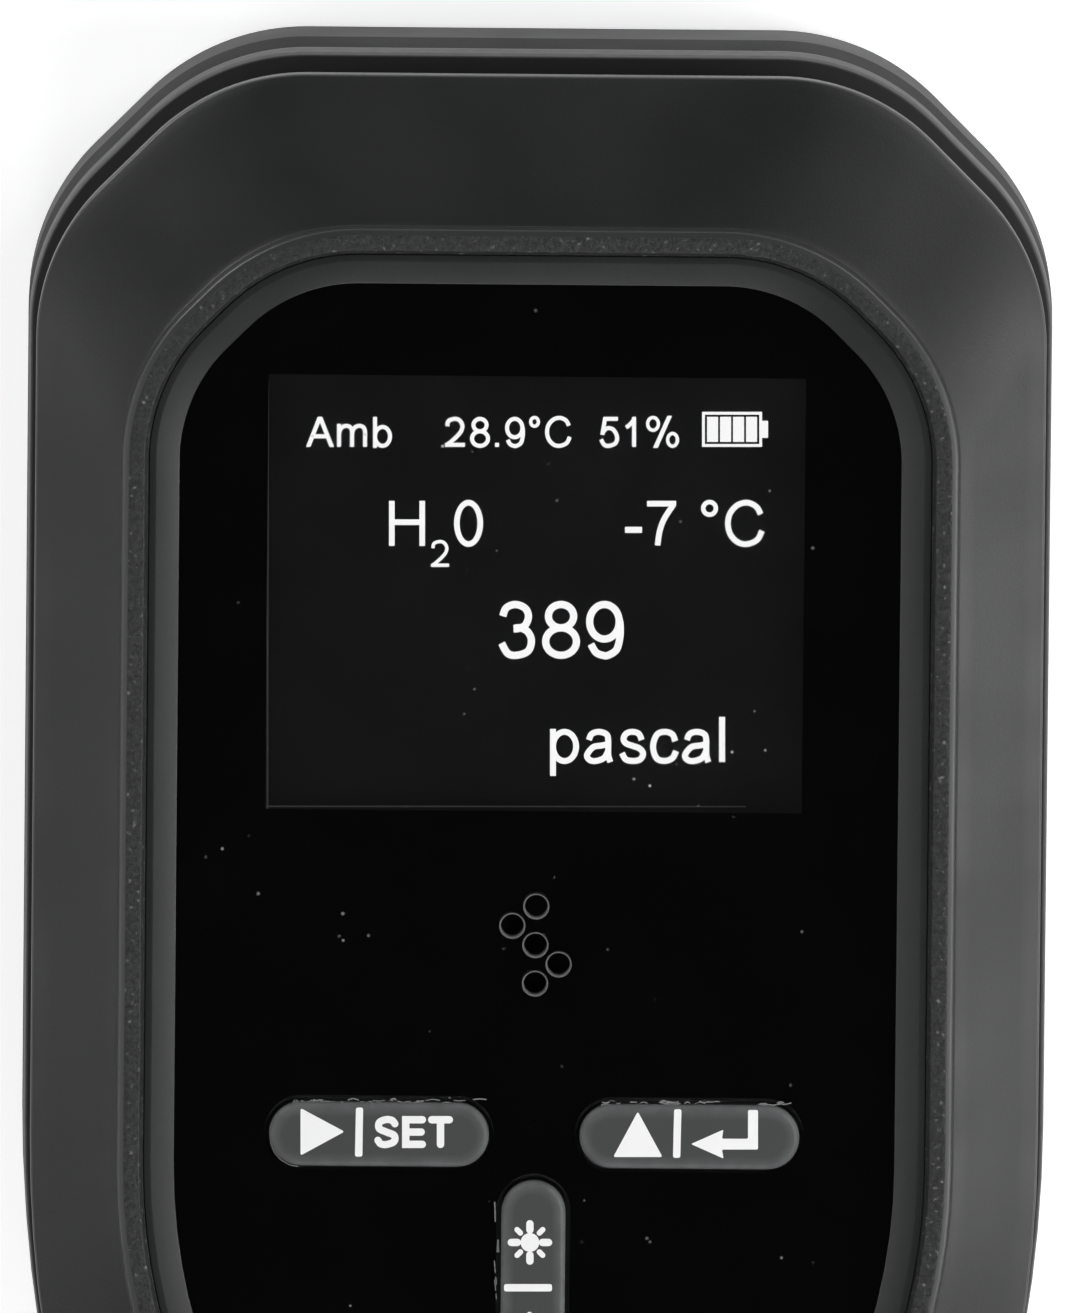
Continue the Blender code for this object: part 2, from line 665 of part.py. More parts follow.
def rear_shell():
    """Moulded rear tray with the battery bay, screw bosses and the door's recess."""
    sections = (
        (REAR_ROUND, 0.0),
        (REAR_ROUND * FACET_SHARE, REAR_ROUND * FACET_SHARE),
        (0.0, REAR_ROUND),
        (0.0, REAR_BREAK_Z),
        (REAR_RIM_INSET, REAR_RIM_Z),
        (REAR_RIM_INSET + REAR_WALL, REAR_RIM_Z),
        (REAR_WALL, REAR_BREAK_Z),
        (REAR_WALL, FLOOR + FLOOR_FILLET),
        (REAR_WALL + FLOOR_FILLET, FLOOR),
    )
    shell = loft("rear_shell", [(outline(BODY, inset), z) for inset, z in sections])
    place(shell, PARTS, ABS_BLACK)
    bay_y = (BAY_TOP_Y + BAY_END_Y) / 2
    outer_width = 2 * (BAY_HALF_WIDTH + BAY_WALL)
    bay_outer = round_rectangle(outer_width, BAY_LENGTH + 2 * BAY_WALL, BAY_WALL, 1)
    bay_block = add_tool(prism("bay_block", bay_outer, FLOOR / 2, BAY_TOP_Z + BAY_WALL), (0.0, bay_y, 0.0))
    cut(shell, bay_block, "UNION")
    door_width, door_top, door_end = door_size()
    door_y = (door_top + door_end) / 2
    door_length = door_top - door_end
    frame_shape = round_rectangle(
        door_width + 2 * DOOR_FRAME, door_length + 2 * DOOR_FRAME, DOOR_CORNER + DOOR_FRAME
    )
    door_frame = prism("door_frame", frame_shape, FLOOR / 2, FLOOR + DOOR_FRAME_RISE)
    cut(shell, add_tool(door_frame, (0.0, door_y, 0.0)), "UNION")
    screw_y = door_end + DOOR_SCREW_EDGE
    post = add_tool(rod("door_post", DOOR_POST_RADIUS, FLOOR / 2, DOOR_POST_HEIGHT), (0.0, screw_y, 0.0))
    cut(shell, post, "UNION")
    for label, x, y in screw_places():
        top = SEAL_Z + SEAL_HEIGHT
        boss = add_tool(rod(f"rear_boss_{label}", BOSS_RADIUS, FLOOR / 2, top), (x, y, 0.0))
        cut(shell, boss, "UNION")
    pocket_shape = round_rectangle(2 * BAY_HALF_WIDTH, BAY_LENGTH, BAY_WALL / 2, 1)
    pocket = prism("bay_pocket", pocket_shape, -TAIL, BAY_TOP_Z)
    cut(shell, add_tool(pocket, (0.0, bay_y, 0.0)))
    recess_shape = round_rectangle(door_width + 2 * GAP, door_length + 2 * GAP, DOOR_CORNER + GAP)
    recess = prism("door_recess", recess_shape, -TAIL, DOOR_TOP_Z + GAP)
    cut(shell, add_tool(recess, (0.0, door_y, 0.0)))
    slot_width = TONGUE_WIDTH + 2 * GAP
    slot_reach = TONGUE_REACH + 2 * GAP
    for side, sign in (("left", -1), ("right", 1)):
        slot_shape = round_rectangle(slot_width, 2 * slot_reach, GAP, 1)
        low = DOOR_TOP_Z - TONGUE_DROP - TONGUE_THICK - GAP
        slot = prism(f"tongue_slot_{side}", slot_shape, low, DOOR_TOP_Z + GAP / 2)
        cut(shell, add_tool(slot, (sign * TONGUE_X, door_top, 0.0)))
    door_hole_top = DOOR_SINK + DOOR_SCREW_LENGTH + 2 * GAP
    door_hole = rod("door_pilot", HOLE_RADIUS_SCREW, 0.0, door_hole_top)
    cut(shell, add_tool(door_hole, (0.0, screw_y, 0.0)))
    for label, x, y in screw_places():
        well = rod(f"screw_well_{label}", SCREW_HEAD_RADIUS + GAP, -TAIL, SCREW_HEAD_Z + GAP)
        cut(shell, add_tool(well, (x, y, 0.0)))
        hole = rod(f"rear_hole_{label}", HOLE_RADIUS_SCREW, SCREW_HEAD_Z, SKIRT_Z + TAIL)
        cut(shell, add_tool(hole, (x, y, 0.0)))
    cut(shell, PORT_HOLE)


def door_size():
    """Width, top y and end y of the battery door."""
    width = 2 * (BAY_HALF_WIDTH + BAY_WALL + DOOR_MARGIN)
    top = BAY_TOP_Y + BAY_WALL + DOOR_TOP_MARGIN
    end = BAY_END_Y - DOOR_FOOT
    return width, top, end


def battery_door():
    """Flush door with two tongues at its top, grip grooves and one screw at its foot."""
    width, top, end = door_size()
    middle = (top + end) / 2
    shape = round_rectangle(width, top - end, DOOR_CORNER)
    door = place(prism("battery_door", shape, DOOR_SINK, DOOR_TOP_Z), PARTS, ABS_BLACK, (0.0, middle, 0.0))
    for number in range(RIB_COUNT):
        y = end + RIB_OFFSET + number * RIB_PITCH
        rib_shape = stadium(RIB_LENGTH, RIB_WIDTH)
        rib = prism(f"grip_groove_{number + 1}", rib_shape, -TAIL, DOOR_SINK + RIB_DEPTH)
        cut(door, add_tool(rib, (0.0, y, 0.0)))
    tongue_shape = round_rectangle(TONGUE_WIDTH, 2 * TONGUE_REACH, GAP, 1)
    for side, sign in (("left", -1), ("right", 1)):
        high = DOOR_TOP_Z - TONGUE_DROP
        tongue = prism(f"tongue_{side}", tongue_shape, high - TONGUE_THICK, high)
        cut(door, add_tool(tongue, (sign * TONGUE_X, top, 0.0)), "UNION")
    screw_y = end + DOOR_SCREW_EDGE
    well_top = DOOR_SINK + DOOR_HEAD_THICK + GAP
    head = rod("door_head_well", DOOR_HEAD_RADIUS + GAP, -TAIL, well_top)
    cut(door, add_tool(head, (0.0, screw_y, 0.0)))
    hole = rod("door_screw_hole", HOLE_RADIUS_SCREW, -TAIL, DOOR_TOP_Z + TAIL)
    cut(door, add_tool(hole, (0.0, screw_y, 0.0)))
    screw_profile = screw_shape(DOOR_SINK, DOOR_HEAD_THICK, DOOR_HEAD_RADIUS, DOOR_SCREW_LENGTH)
    place(turned("door_screw", screw_profile, COARSE_STEPS), PARTS, STEEL, (0.0, screw_y, 0.0))


def screw_shape(low, head, head_radius, length):
    """Profile of a pan head screw, its head down, with a socket in the head."""
    depth = min(SCREW_SOCKET_DEPTH, head * SOCKET_SHARE)
    return (
        (0.0, low + length),
        (SCREW_RADIUS * TIP_SHARE, low + length),
        (SCREW_RADIUS, low + length - SCREW_RADIUS),
        (SCREW_RADIUS, low + head),
        (head_radius, low + head),
        (head_radius, low + head * HEAD_SIDE_SHARE),
        (head_radius * HEAD_FACE_SHARE, low),
        (SCREW_SOCKET, low),
        (SCREW_SOCKET * SOCKET_SHARE, low + depth),
        (0.0, low + depth),
    )


def housing_screws():
    low = SCREW_HEAD_Z - SCREW_HEAD_THICK
    length = SCREW_LENGTH + SCREW_HEAD_THICK
    for label, x, y in screw_places():
        profile = screw_shape(low, SCREW_HEAD_THICK, SCREW_HEAD_RADIUS, length)
        place(turned(f"case_screw_{label}", profile, COARSE_STEPS), PARTS, STEEL, (x, y, 0.0))


def battery(number, x, top_y, nub_up):
    """One AAA cell along Y between its two contact plates."""
    profile = (
        (0.0, CELL_LENGTH),
        (BATTERY_NUB_RADIUS, CELL_LENGTH),
        (BATTERY_NUB_RADIUS, BATTERY_LENGTH),
        (BATTERY_RADIUS - BATTERY_CHAMFER, BATTERY_LENGTH),
        (BATTERY_RADIUS, BATTERY_LENGTH - BATTERY_CHAMFER),
        (BATTERY_RADIUS, BATTERY_CHAMFER),
        (BATTERY_RADIUS - BATTERY_CHAMFER, 0.0),
        (0.0, 0.0),
    )
    turn = -90 if nub_up else 90
    foot = top_y - CELL_LENGTH if nub_up else top_y
    cell = turned(f"battery_{number}", profile, COARSE_STEPS + 4)
    place(cell, PARTS, CELL_WRAP, (x, foot, BATTERY_Z), (math.radians(turn), 0.0, 0.0))


def battery_spring(number, x, plate_y, upwards):
    """Conical spring on a contact plate, pressing on the cell's flat end."""
    curve = bpy.data.curves.new(f"battery_spring_{number}", "CURVE")
    curve.dimensions = "3D"
    curve.bevel_depth = SPRING_WIRE
    curve.bevel_resolution = 0
    curve.use_fill_caps = True
    spline = curve.splines.new("POLY")
    count = SPRING_TURNS * SPRING_POINTS
    spline.points.add(count)
    rise = SPRING_LENGTH - 2 * SPRING_WIRE
    for i in range(count + 1):
        share = i / count
        angle = 2 * math.pi * SPRING_TURNS * share
        radius = SPRING_BASE + (SPRING_TIP - SPRING_BASE) * share
        place_z = SPRING_WIRE + rise * share
        spline.points[i].co = (radius * math.cos(angle), radius * math.sin(angle), place_z, 1.0)
    coil = bpy.data.objects.new(curve.name, curve)
    turn = -90 if upwards else 90
    place(coil, PARTS, STEEL, (x, plate_y, BATTERY_Z), (math.radians(turn), 0.0, 0.0))


def contact_plate(name, low_x, high_x, y):
    shape = round_rectangle(high_x - low_x, PLATE_HEIGHT, PLATE_CORNER, 2)
    plate = prism(name, shape, -PLATE_THICK / 2, PLATE_THICK / 2)
    middle = ((low_x + high_x) / 2, y, BATTERY_Z)
    place(plate, PARTS, STEEL, middle, (math.radians(90), 0.0, 0.0))


def battery_pack():
    """Three cells in series, joined by contact plates at the ends of the bay."""
    top_plate = BAY_TOP_Y - GAP - PLATE_THICK / 2
    low_plate = BAY_END_Y + GAP + PLATE_THICK / 2
    for number, column in enumerate((-1, 0, 1), 1):
        x = column * BATTERY_PITCH
        nub_up = column != 0
        if nub_up:
            battery(number, x, top_plate - PLATE_THICK / 2 - GAP, True)
            battery_spring(number, x, low_plate + PLATE_THICK / 2 + GAP, True)
        else:
            cell_top = low_plate + PLATE_THICK / 2 + GAP + CELL_LENGTH
            battery(number, x, cell_top, False)
            battery_spring(number, x, top_plate - PLATE_THICK / 2 - GAP, False)
    half = PLATE_WIDTH / 2
    contact_plate("contact_top_pair", -BATTERY_PITCH - half, half, top_plate)
    contact_plate("contact_top_single", BATTERY_PITCH - half, BATTERY_PITCH + half, top_plate)
    contact_plate("contact_low_single", -BATTERY_PITCH - half, -BATTERY_PITCH + half, low_plate)
    contact_plate("contact_low_pair", -half, BATTERY_PITCH + half, low_plate)


def on_port(obj, mat):
    """Places a piece whose Z runs outwards along the port."""
    return place(obj, PARTS, mat, (0.0, END_Y, PORT_Z), (math.radians(90), 0.0, 0.0))


def port_body():
    """Turned brass port: inner flange, neck in the end wall, collar, shank and flare cone."""
    collar = GAP + PORT_COLLAR_THICK
    flange_end = FLANGE_START + PORT_FLANGE_THICK
    profile = (
        (PORT_BORE, CONE_END),
        (PORT_HEAD_RADIUS - PORT_CONE, CONE_END),
        (PORT_HEAD_RADIUS, HEAD_END),
        (PORT_HEAD_RADIUS, SHANK_END),
        (PORT_SHANK_RADIUS, SHANK_END),
        (PORT_SHANK_RADIUS, collar),
        (PORT_COLLAR_RADIUS - PORT_COLLAR_CHAMFER, collar),
        (PORT_COLLAR_RADIUS, collar - PORT_COLLAR_CHAMFER),
        (PORT_COLLAR_RADIUS, GAP),
        (PORT_NECK_RADIUS, GAP),
        (PORT_NECK_RADIUS, flange_end),
        (PORT_FLANGE_RADIUS, flange_end),
        (PORT_FLANGE_RADIUS, FLANGE_START),
        (PORT_BORE, FLANGE_START),
    )
    on_port(turned("port_body", profile, ring=True), BRASS)


def port_rings():
    """Seal in the end wall, snap ring behind the head and the washer on the flare cone."""
    inner = PORT_NECK_RADIUS + GAP
    outer = inner + RING_WIDTH
    seal = ((inner, -GAP), (outer, -GAP), (outer, -GAP - RING_LENGTH), (inner, -GAP - RING_LENGTH))
    on_port(turned("port_seal", seal, ring=True), RUBBER_BLACK)
    clip_top = SHANK_END - GAP
    clip_inner = PORT_SHANK_RADIUS + GAP
    clip_outer = clip_inner + CLIP_WIDTH
    clip = (
        (clip_inner, clip_top),
        (clip_outer, clip_top),
        (clip_outer, clip_top - CLIP_THICK),
        (clip_inner, clip_top - CLIP_THICK),
    )
    on_port(turned("snap_ring", clip, ring=True), STEEL)
    rise = GAP * math.sqrt(2)
    tip = PORT_HEAD_RADIUS - PORT_CONE
    washer = (
        (tip, CONE_END + rise + FLARE_THICK),
        (PORT_HEAD_RADIUS, HEAD_END + rise + FLARE_THICK),
        (PORT_HEAD_RADIUS, HEAD_END + rise),
        (tip, CONE_END + rise),
    )
    on_port(turned("flare_washer", washer, ring=True), COPPER)


def core_pin():
    """Pin that opens a valve core, held by its head in the port's bore."""
    top = CONE_END + PIN_PROUD
    foot = top - PIN_LENGTH
    profile = (
        (0.0, top),
        (PIN_RADIUS * TIP_SHARE, top),
        (PIN_RADIUS, top - PIN_RADIUS * TIP_SHARE),
        (PIN_RADIUS, foot + PIN_HEAD_THICK),
        (PORT_BORE - GAP, foot + PIN_HEAD_THICK),
        (PORT_BORE - GAP, foot),
        (0.0, foot),
    )
    on_port(turned("core_pin", profile, COARSE_STEPS), BRASS)


def swivel_nut():
    """Hexagon nut that turns on the port, held by its inner lip behind the snap ring."""
    lip_bore = PORT_SHANK_RADIUS + GAP
    lip_end = SHANK_END - 2 * GAP - CLIP_THICK
    corner = NUT_ACROSS_FLATS / math.sqrt(3)
    blank = (
        (NUT_BORE + NUT_RIM, PORT_REACH),
        (corner - NUT_CHAMFER, PORT_REACH),
        (corner, PORT_REACH - NUT_CHAMFER * 0.5),
        (corner, NUT_START + NUT_CHAMFER * 0.5),
        (corner - NUT_CHAMFER, NUT_START),
        (lip_bore, NUT_START),
        (lip_bore, lip_end),
        (NUT_BORE, lip_end),
        (NUT_BORE, PORT_REACH - NUT_RIM),
    )
    nut = on_port(turned("swivel_nut", blank, ring=True), BRASS)
    flats = [(corner * math.cos(math.radians(60 * i)), corner * math.sin(math.radians(60 * i))) for i in range(6)]
    hexagon = prism("nut_hexagon", flats, NUT_START - TAIL, PORT_REACH + TAIL)
    add_tool(hexagon, (0.0, END_Y, PORT_Z), (math.radians(90), 0.0, 0.0))
    cut(nut, hexagon, "INTERSECT")


def vacuum_sensor():
    """Sensor can on the inner end of the port, its small board and the header to the main board."""
    top = FLANGE_START - GAP
    foot = top - SENSOR_LENGTH
    profile = (
        (0.0, top),
        (SENSOR_RADIUS, top),
        (SENSOR_RADIUS, foot + SENSOR_STEP),
        (SENSOR_RADIUS - SENSOR_RIM, foot + SENSOR_STEP),
        (SENSOR_RADIUS - SENSOR_RIM, foot),
        (0.0, foot),
    )
    on_port(turned("vacuum_sensor", profile), STEEL)
    board_top = foot - GAP
    shape = round_rectangle(SENSOR_BOARD_WIDTH, SENSOR_BOARD_HEIGHT, SENSOR_BOARD_CORNER, 2)
    on_port(prism("sensor_board", shape, board_top - SENSOR_BOARD_THICK, board_top), BOARD_GREEN)
    header_shape = round_rectangle(HEADER_WIDTH, HEADER_LENGTH, HEADER_CORNER, 1)
    header_y = END_Y - (board_top - SENSOR_BOARD_THICK - GAP) + HEADER_LENGTH / 2
    header_top = BOARD_Z - GAP
    header = prism("sensor_header", header_shape, header_top - HEADER_HEIGHT, header_top)
    place(header, PARTS, CHIP_BLACK, (0.0, header_y, 0.0))


clear_scene()
PARTS = new_collection("vacuum_gauge")
TOOLS = new_collection("cutters")

ABS_BLACK = finish("abs_black", (0.035, 0.035, 0.037), 0.42)
ABS_SATIN = finish("abs_satin", (0.045, 0.045, 0.047), 0.32)
LENS_BLACK = finish("lens_black", (0.004, 0.004, 0.005), 0.08)
FOAM_BLACK = finish("foam_black", (0.01, 0.01, 0.01), 0.9)
RUBBER_BLACK = finish("rubber_black", (0.03, 0.03, 0.03), 0.6)
RUBBER_GREY = finish("rubber_grey", (0.09, 0.09, 0.09), 0.5)
CARBON = finish("carbon", (0.01, 0.01, 0.01), 0.7)
BOARD_GREEN = finish("board_green", (0.01, 0.12, 0.05), 0.4)
CHIP_BLACK = finish("chip_black", (0.015, 0.015, 0.016), 0.5)
STEEL = finish("steel", (0.55, 0.55, 0.56), 0.3, 1.0)
BRASS = finish("brass", (0.72, 0.47, 0.15), 0.28, 1.0)
COPPER = finish("copper", (0.75, 0.32, 0.17), 0.3, 1.0)
CELL_WRAP = finish("cell_wrap", (0.08, 0.09, 0.11), 0.35)

PORT_HOLE = add_tool(
    rod("port_hole", PORT_NECK_RADIUS + 2 * GAP + RING_WIDTH, -3 * SKIRT_INSET, TAIL, TURN_STEPS),
    (0.0, END_Y, PORT_Z), (math.radians(90), 0.0, 0.0),
)

front_shell()
lens_frame()
lens_tape()
lens_panel()
display()
board()
for key_place in key_places():
    key(*key_place)
keypad_mat()
shell_seal()
rear_shell()
battery_door()
housing_screws()
battery_pack()
port_body()
port_rings()
core_pin()
swivel_nut()
vacuum_sensor()
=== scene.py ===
"""Looks of a handheld digital vacuum gauge that lies on its back, seen from just past its top end."""
import math
import random

import bmesh
import bpy
from mathutils import Matrix, Vector


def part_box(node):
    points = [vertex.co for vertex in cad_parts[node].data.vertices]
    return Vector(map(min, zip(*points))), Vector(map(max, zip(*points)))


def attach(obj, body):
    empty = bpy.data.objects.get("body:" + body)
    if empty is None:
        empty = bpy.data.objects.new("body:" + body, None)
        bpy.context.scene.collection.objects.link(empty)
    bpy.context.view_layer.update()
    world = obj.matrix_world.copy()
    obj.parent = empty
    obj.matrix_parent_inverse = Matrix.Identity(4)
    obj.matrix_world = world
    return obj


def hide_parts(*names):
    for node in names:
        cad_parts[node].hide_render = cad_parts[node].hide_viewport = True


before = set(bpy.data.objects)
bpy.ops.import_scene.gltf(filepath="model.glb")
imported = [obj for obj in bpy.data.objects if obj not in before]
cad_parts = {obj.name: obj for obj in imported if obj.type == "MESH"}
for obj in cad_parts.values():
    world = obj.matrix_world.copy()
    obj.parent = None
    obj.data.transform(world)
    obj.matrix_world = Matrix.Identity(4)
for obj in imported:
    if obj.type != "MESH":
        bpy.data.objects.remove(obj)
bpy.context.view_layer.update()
MM = 0.001


# Camera. The photograph was taken from far off, a few degrees past the top end of the face and a
# little to its left, and the gauge leans to the right in it by half a degree.
PHOTO_WIDTH = 1073
PHOTO_HEIGHT = 1313
PIXEL = MM / 15.27
LEAN = math.radians(8.2)
ASIDE = math.radians(0.35)
ROLL = math.radians(0.545)
FOCAL_LENGTH = 1250.0
SENSOR = 36.0
AIM_BELOW_TOP = 38.35 * MM
AIM_ASIDE = 0.13 * MM
EDGE_Z = 22.0 * MM
LIP = 0.6 * MM
DISTANCE = PHOTO_HEIGHT * PIXEL * FOCAL_LENGTH / SENSOR

rear_low, rear_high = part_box("rear_shell")
AIM = Vector((-AIM_ASIDE, rear_high.y - LIP - AIM_BELOW_TOP, EDGE_Z))
TURN = Matrix.Rotation(-ASIDE, 3, "Y") @ Matrix.Rotation(-LEAN, 3, "X") @ Matrix.Rotation(ROLL, 3, "Z")
EYE = AIM + TURN @ Vector((0.0, 0.0, DISTANCE))


def add_camera():
    data = bpy.data.cameras.new("camera")
    data.lens = FOCAL_LENGTH
    data.sensor_width = SENSOR
    data.clip_start = 0.1
    data.clip_end = 100.0
    camera = bpy.data.objects.new("camera", data)
    bpy.context.scene.collection.objects.link(camera)
    camera.matrix_world = Matrix.Translation(EYE) @ TURN.to_4x4()
    bpy.context.scene.camera = camera


def at_pixel(column, row, height):
    """The point at a height on the gauge that the photograph shows at a pixel."""
    across = (column - PHOTO_WIDTH / 2) * PIXEL
    rise = (PHOTO_HEIGHT / 2 - row) * PIXEL
    ray = TURN @ Vector((across, rise, -DISTANCE))
    return EYE + ray * ((height - EYE.z) / ray.z)


add_camera()


# Rear shell. An injection moulded ABS tray with straight walls that break inwards near the rim, the
# battery bay and four screw bosses. Its mould was spark eroded, which leaves a fine satin grain.
BLEND_STEPS = 18
FLANK_STEPS = 8
HEEL_STEPS = 26
REAR_ROUND = 2.6 * MM
REAR_BREAK_Z = 7.6 * MM
REAR_RIM_Z = 11.0 * MM
REAR_RIM_INSET = 0.3 * MM
REAR_WALL = 2.0 * MM
FLOOR = 2.0 * MM
CLEARANCE = 0.3 * MM
BAY_WALL = 1.3 * MM
DOOR_FRAME = 2.0 * MM
DOOR_FRAME_Z = 3.6 * MM
DOOR_CORNER = 2.5 * MM
TONGUE = 1.5 * MM
TONGUE_X = 10.0 * MM
POST_RADIUS = 3.4 * MM
POST_Z = 9.0 * MM
BOSS_RADIUS = 2.9 * MM
BOSS_Z = 15.2 * MM
PILOT_RADIUS = 1.55 * MM
CORNERS = ("top_left", "top_right", "low_left", "low_right")
HOUSING_HEX = "191a1a"
GRAIN_MM = 0.16


class Shape:
    """An outline with blended chamfers at its upper corners and a rounded heel."""

    def __init__(self, half, top, end, chamfer, blend, shoulder, flank, heel):
        self.half = half
        self.top = top
        self.end = end
        self.chamfer = chamfer
        self.blend = blend
        self.shoulder = shoulder
        self.flank = flank
        self.heel = heel


BODY = Shape(
    rear_high.x, rear_high.y, rear_low.y, 12.1 * MM, 14.8 * MM,
    rear_low.y + 42.2 * MM, 85.6 * MM, 22.55 * MM,
)


def arc(centre_x, centre_y, radius, start, end, steps):
    points = []
    for i in range(steps + 1):
        angle = math.radians(start + (end - start) * i / steps)
        points.append((centre_x + radius * math.cos(angle), centre_y + radius * math.sin(angle)))
    return points


def outline(shape, inset):
    """The outline moved inwards by an inset, as points from the top middle round to it again."""
    half = shape.half - inset
    end = shape.end + inset
    chamfer = shape.chamfer - (2 - math.sqrt(2)) * inset
    blend = shape.blend - inset
    flank = shape.flank - inset
    heel = shape.heel - inset
    tangent = blend * math.tan(math.radians(22.5))
    turn = math.degrees(math.asin((shape.shoulder - end - heel) / (flank - heel)))
    top = shape.top - inset
    heel_x = half - flank + (flank - heel) * math.cos(math.radians(turn))
    right = arc(half - chamfer - tangent, top - blend, blend, 90, 45, BLEND_STEPS)
    right += arc(half - blend, top - chamfer - tangent, blend, 45, 0, BLEND_STEPS)
    right += arc(half - flank, shape.shoulder, flank, 0, -turn, FLANK_STEPS)
    right += arc(heel_x, end + heel, heel, -turn, -90, HEEL_STEPS)[1:]
    left = [(-x, y) for x, y in reversed(right)]
    return right + left


def fillet(profile, steps=5):
    """Rounds a profile of (inset, height, radius) corners into (inset, height) points."""
    points = []
    for i, (inset, height, radius) in enumerate(profile):
        corner = Vector((inset, height))
        if radius <= 0 or i in (0, len(profile) - 1):
            points.append(tuple(corner))
            continue
        before = (Vector(profile[i - 1][:2]) - corner).normalized()
        after = (Vector(profile[i + 1][:2]) - corner).normalized()
        half_angle = before.angle(after) / 2
        reach = radius / math.tan(half_angle)
        centre = corner + (before + after).normalized() * (radius / math.sin(half_angle))
        start = corner + before * reach - centre
        finish = corner + after * reach - centre
        for k in range(steps + 1):
            spoke = start.lerp(finish, k / steps)
            points.append(tuple(centre + spoke.normalized() * radius))
    return points


def new_piece(name, mesh, body="housing", sharp=32):
    """Links a finished mesh as a piece that rides on a body."""
    mesh.shade_smooth()
    mesh.set_sharp_from_angle(angle=math.radians(sharp))
    piece = bpy.data.objects.new(name, mesh)
    bpy.context.scene.collection.objects.link(piece)
    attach(piece, body)
    return piece


def skin_mesh(name, paths, closed=False):
    """A skin through loops of points, capped at both ends or closed on itself as a frame."""
    bm = bmesh.new()
    loops = [[bm.verts.new(point) for point in path] for path in paths]
    pairs = list(zip(loops, loops[1:]))
    if closed:
        pairs.append((loops[-1], loops[0]))
    else:
        bm.faces.new(loops[0])
        bm.faces.new(loops[-1])
    for lower, upper in pairs:
        for i in range(len(lower)):
            j = (i + 1) % len(lower)
            bm.faces.new((lower[i], lower[j], upper[j], upper[i]))
    bmesh.ops.recalc_face_normals(bm, faces=bm.faces)
    mesh = bpy.data.meshes.new(name)
    bm.to_mesh(mesh)
    bm.free()
    return mesh


def loft_mesh(name, rings, closed=False):
    """A skin through level rings, each given as its points and its height."""
    return skin_mesh(name, [[(x, y, z) for x, y in points] for points, z in rings], closed)


def carve(mesh, tools, operation="DIFFERENCE"):
    """The mesh after each tool mesh is cut from it or joined to it."""
    scene = bpy.context.scene
    holder = bpy.data.objects.new("carving", mesh)
    scene.collection.objects.link(holder)
    helpers = []
    for tool in tools:
        helper = bpy.data.objects.new("tool", tool)
        scene.collection.objects.link(helper)
        helpers.append(helper)
        step = holder.modifiers.new("step", "BOOLEAN")
        step.operation = operation
        step.solver = "EXACT"
        step.object = helper
    graph = bpy.context.evaluated_depsgraph_get()
    result = bpy.data.meshes.new_from_object(holder.evaluated_get(graph))
    result.name = mesh.name
    for helper in helpers + [holder]:
        bpy.data.objects.remove(helper)
    return result


def prism_mesh(name, points, low, high, centre=(0.0, 0.0)):
    placed = [(centre[0] + x, centre[1] + y) for x, y in points]
    return loft_mesh(name, [(placed, low), (placed, high)])


def circle(radius, steps=48):
    return arc(0.0, 0.0, radius, 0, 360 - 360 / steps, steps - 1)


def linear(hex_colour):
    """An sRGB hex colour as linear red, green, blue and alpha."""
    channels = []
    for i in (0, 2, 4):
        value = int(hex_colour[i:i + 2], 16) / 255
        channels.append(value / 12.92 if value <= 0.04045 else ((value + 0.055) / 1.055) ** 2.4)
    return (*channels, 1.0)


def add_node(material, kind, settings=None, links=None):
    """Adds a node, with its properties and input values as settings and its linked inputs as links."""
    node = material.node_tree.nodes.new(kind)
    for name, value in (settings or {}).items():
        if hasattr(node, name):
            setattr(node, name, value)
        else:
            node.inputs[name].default_value = value
    for name, source in (links or {}).items():
        material.node_tree.links.new(source, node.inputs[name])
    return node


def new_material(name, settings):
    """A Principled material with its plain settings; its shader and object coordinates come with it."""
    material = bpy.data.materials.new(name)
    material.use_nodes = True
    shader = material.node_tree.nodes["Principled BSDF"]
    for socket, value in settings.items():
        shader.inputs[socket].default_value = value
    place = add_node(material, "ShaderNodeTexCoord").outputs["Object"]
    return material, shader, place


def spark_eroded_abs(name, hex_colour, grain_mm, depth_mm, roughness, gloss=0.5):
    """Black ABS from a spark eroded mould: grey-black, satin, with an even grain of shallow pits."""
    material, shader, place = new_material(name, {"IOR": 1.54, "Specular IOR Level": gloss})
    tree = material.node_tree
    grain = add_node(
        material, "ShaderNodeTexNoise",
        {"Scale": 1 / (grain_mm * MM), "Detail": 3.0, "Roughness": 0.6}, {"Vector": place},
    )
    cloud = add_node(material, "ShaderNodeTexNoise", {"Scale": 90.0, "Detail": 2.0}, {"Vector": place})
    tint = add_node(
        material, "ShaderNodeMix",
        {"data_type": "RGBA"}, {"Factor": grain.outputs["Fac"]},
    )
    base = linear(hex_colour)
    tint.inputs["A"].default_value = tuple(c * 0.72 for c in base[:3]) + (1.0,)
    tint.inputs["B"].default_value = tuple(c * 1.28 for c in base[:3]) + (1.0,)
    tree.links.new(tint.outputs["Result"], shader.inputs["Base Color"])
    sheen = add_node(
        material, "ShaderNodeMapRange",
        {"From Min": 0.35, "From Max": 0.65, "To Min": roughness - 0.04, "To Max": roughness + 0.05},
        {"Value": cloud.outputs["Fac"]},
    )
    tree.links.new(sheen.outputs["Result"], shader.inputs["Roughness"])
    bump = add_node(
        material, "ShaderNodeBump",
        {"Strength": 1.0, "Distance": depth_mm * MM}, {"Height": grain.outputs["Fac"]},
    )
    tree.links.new(bump.outputs["Normal"], shader.inputs["Normal"])
    return material


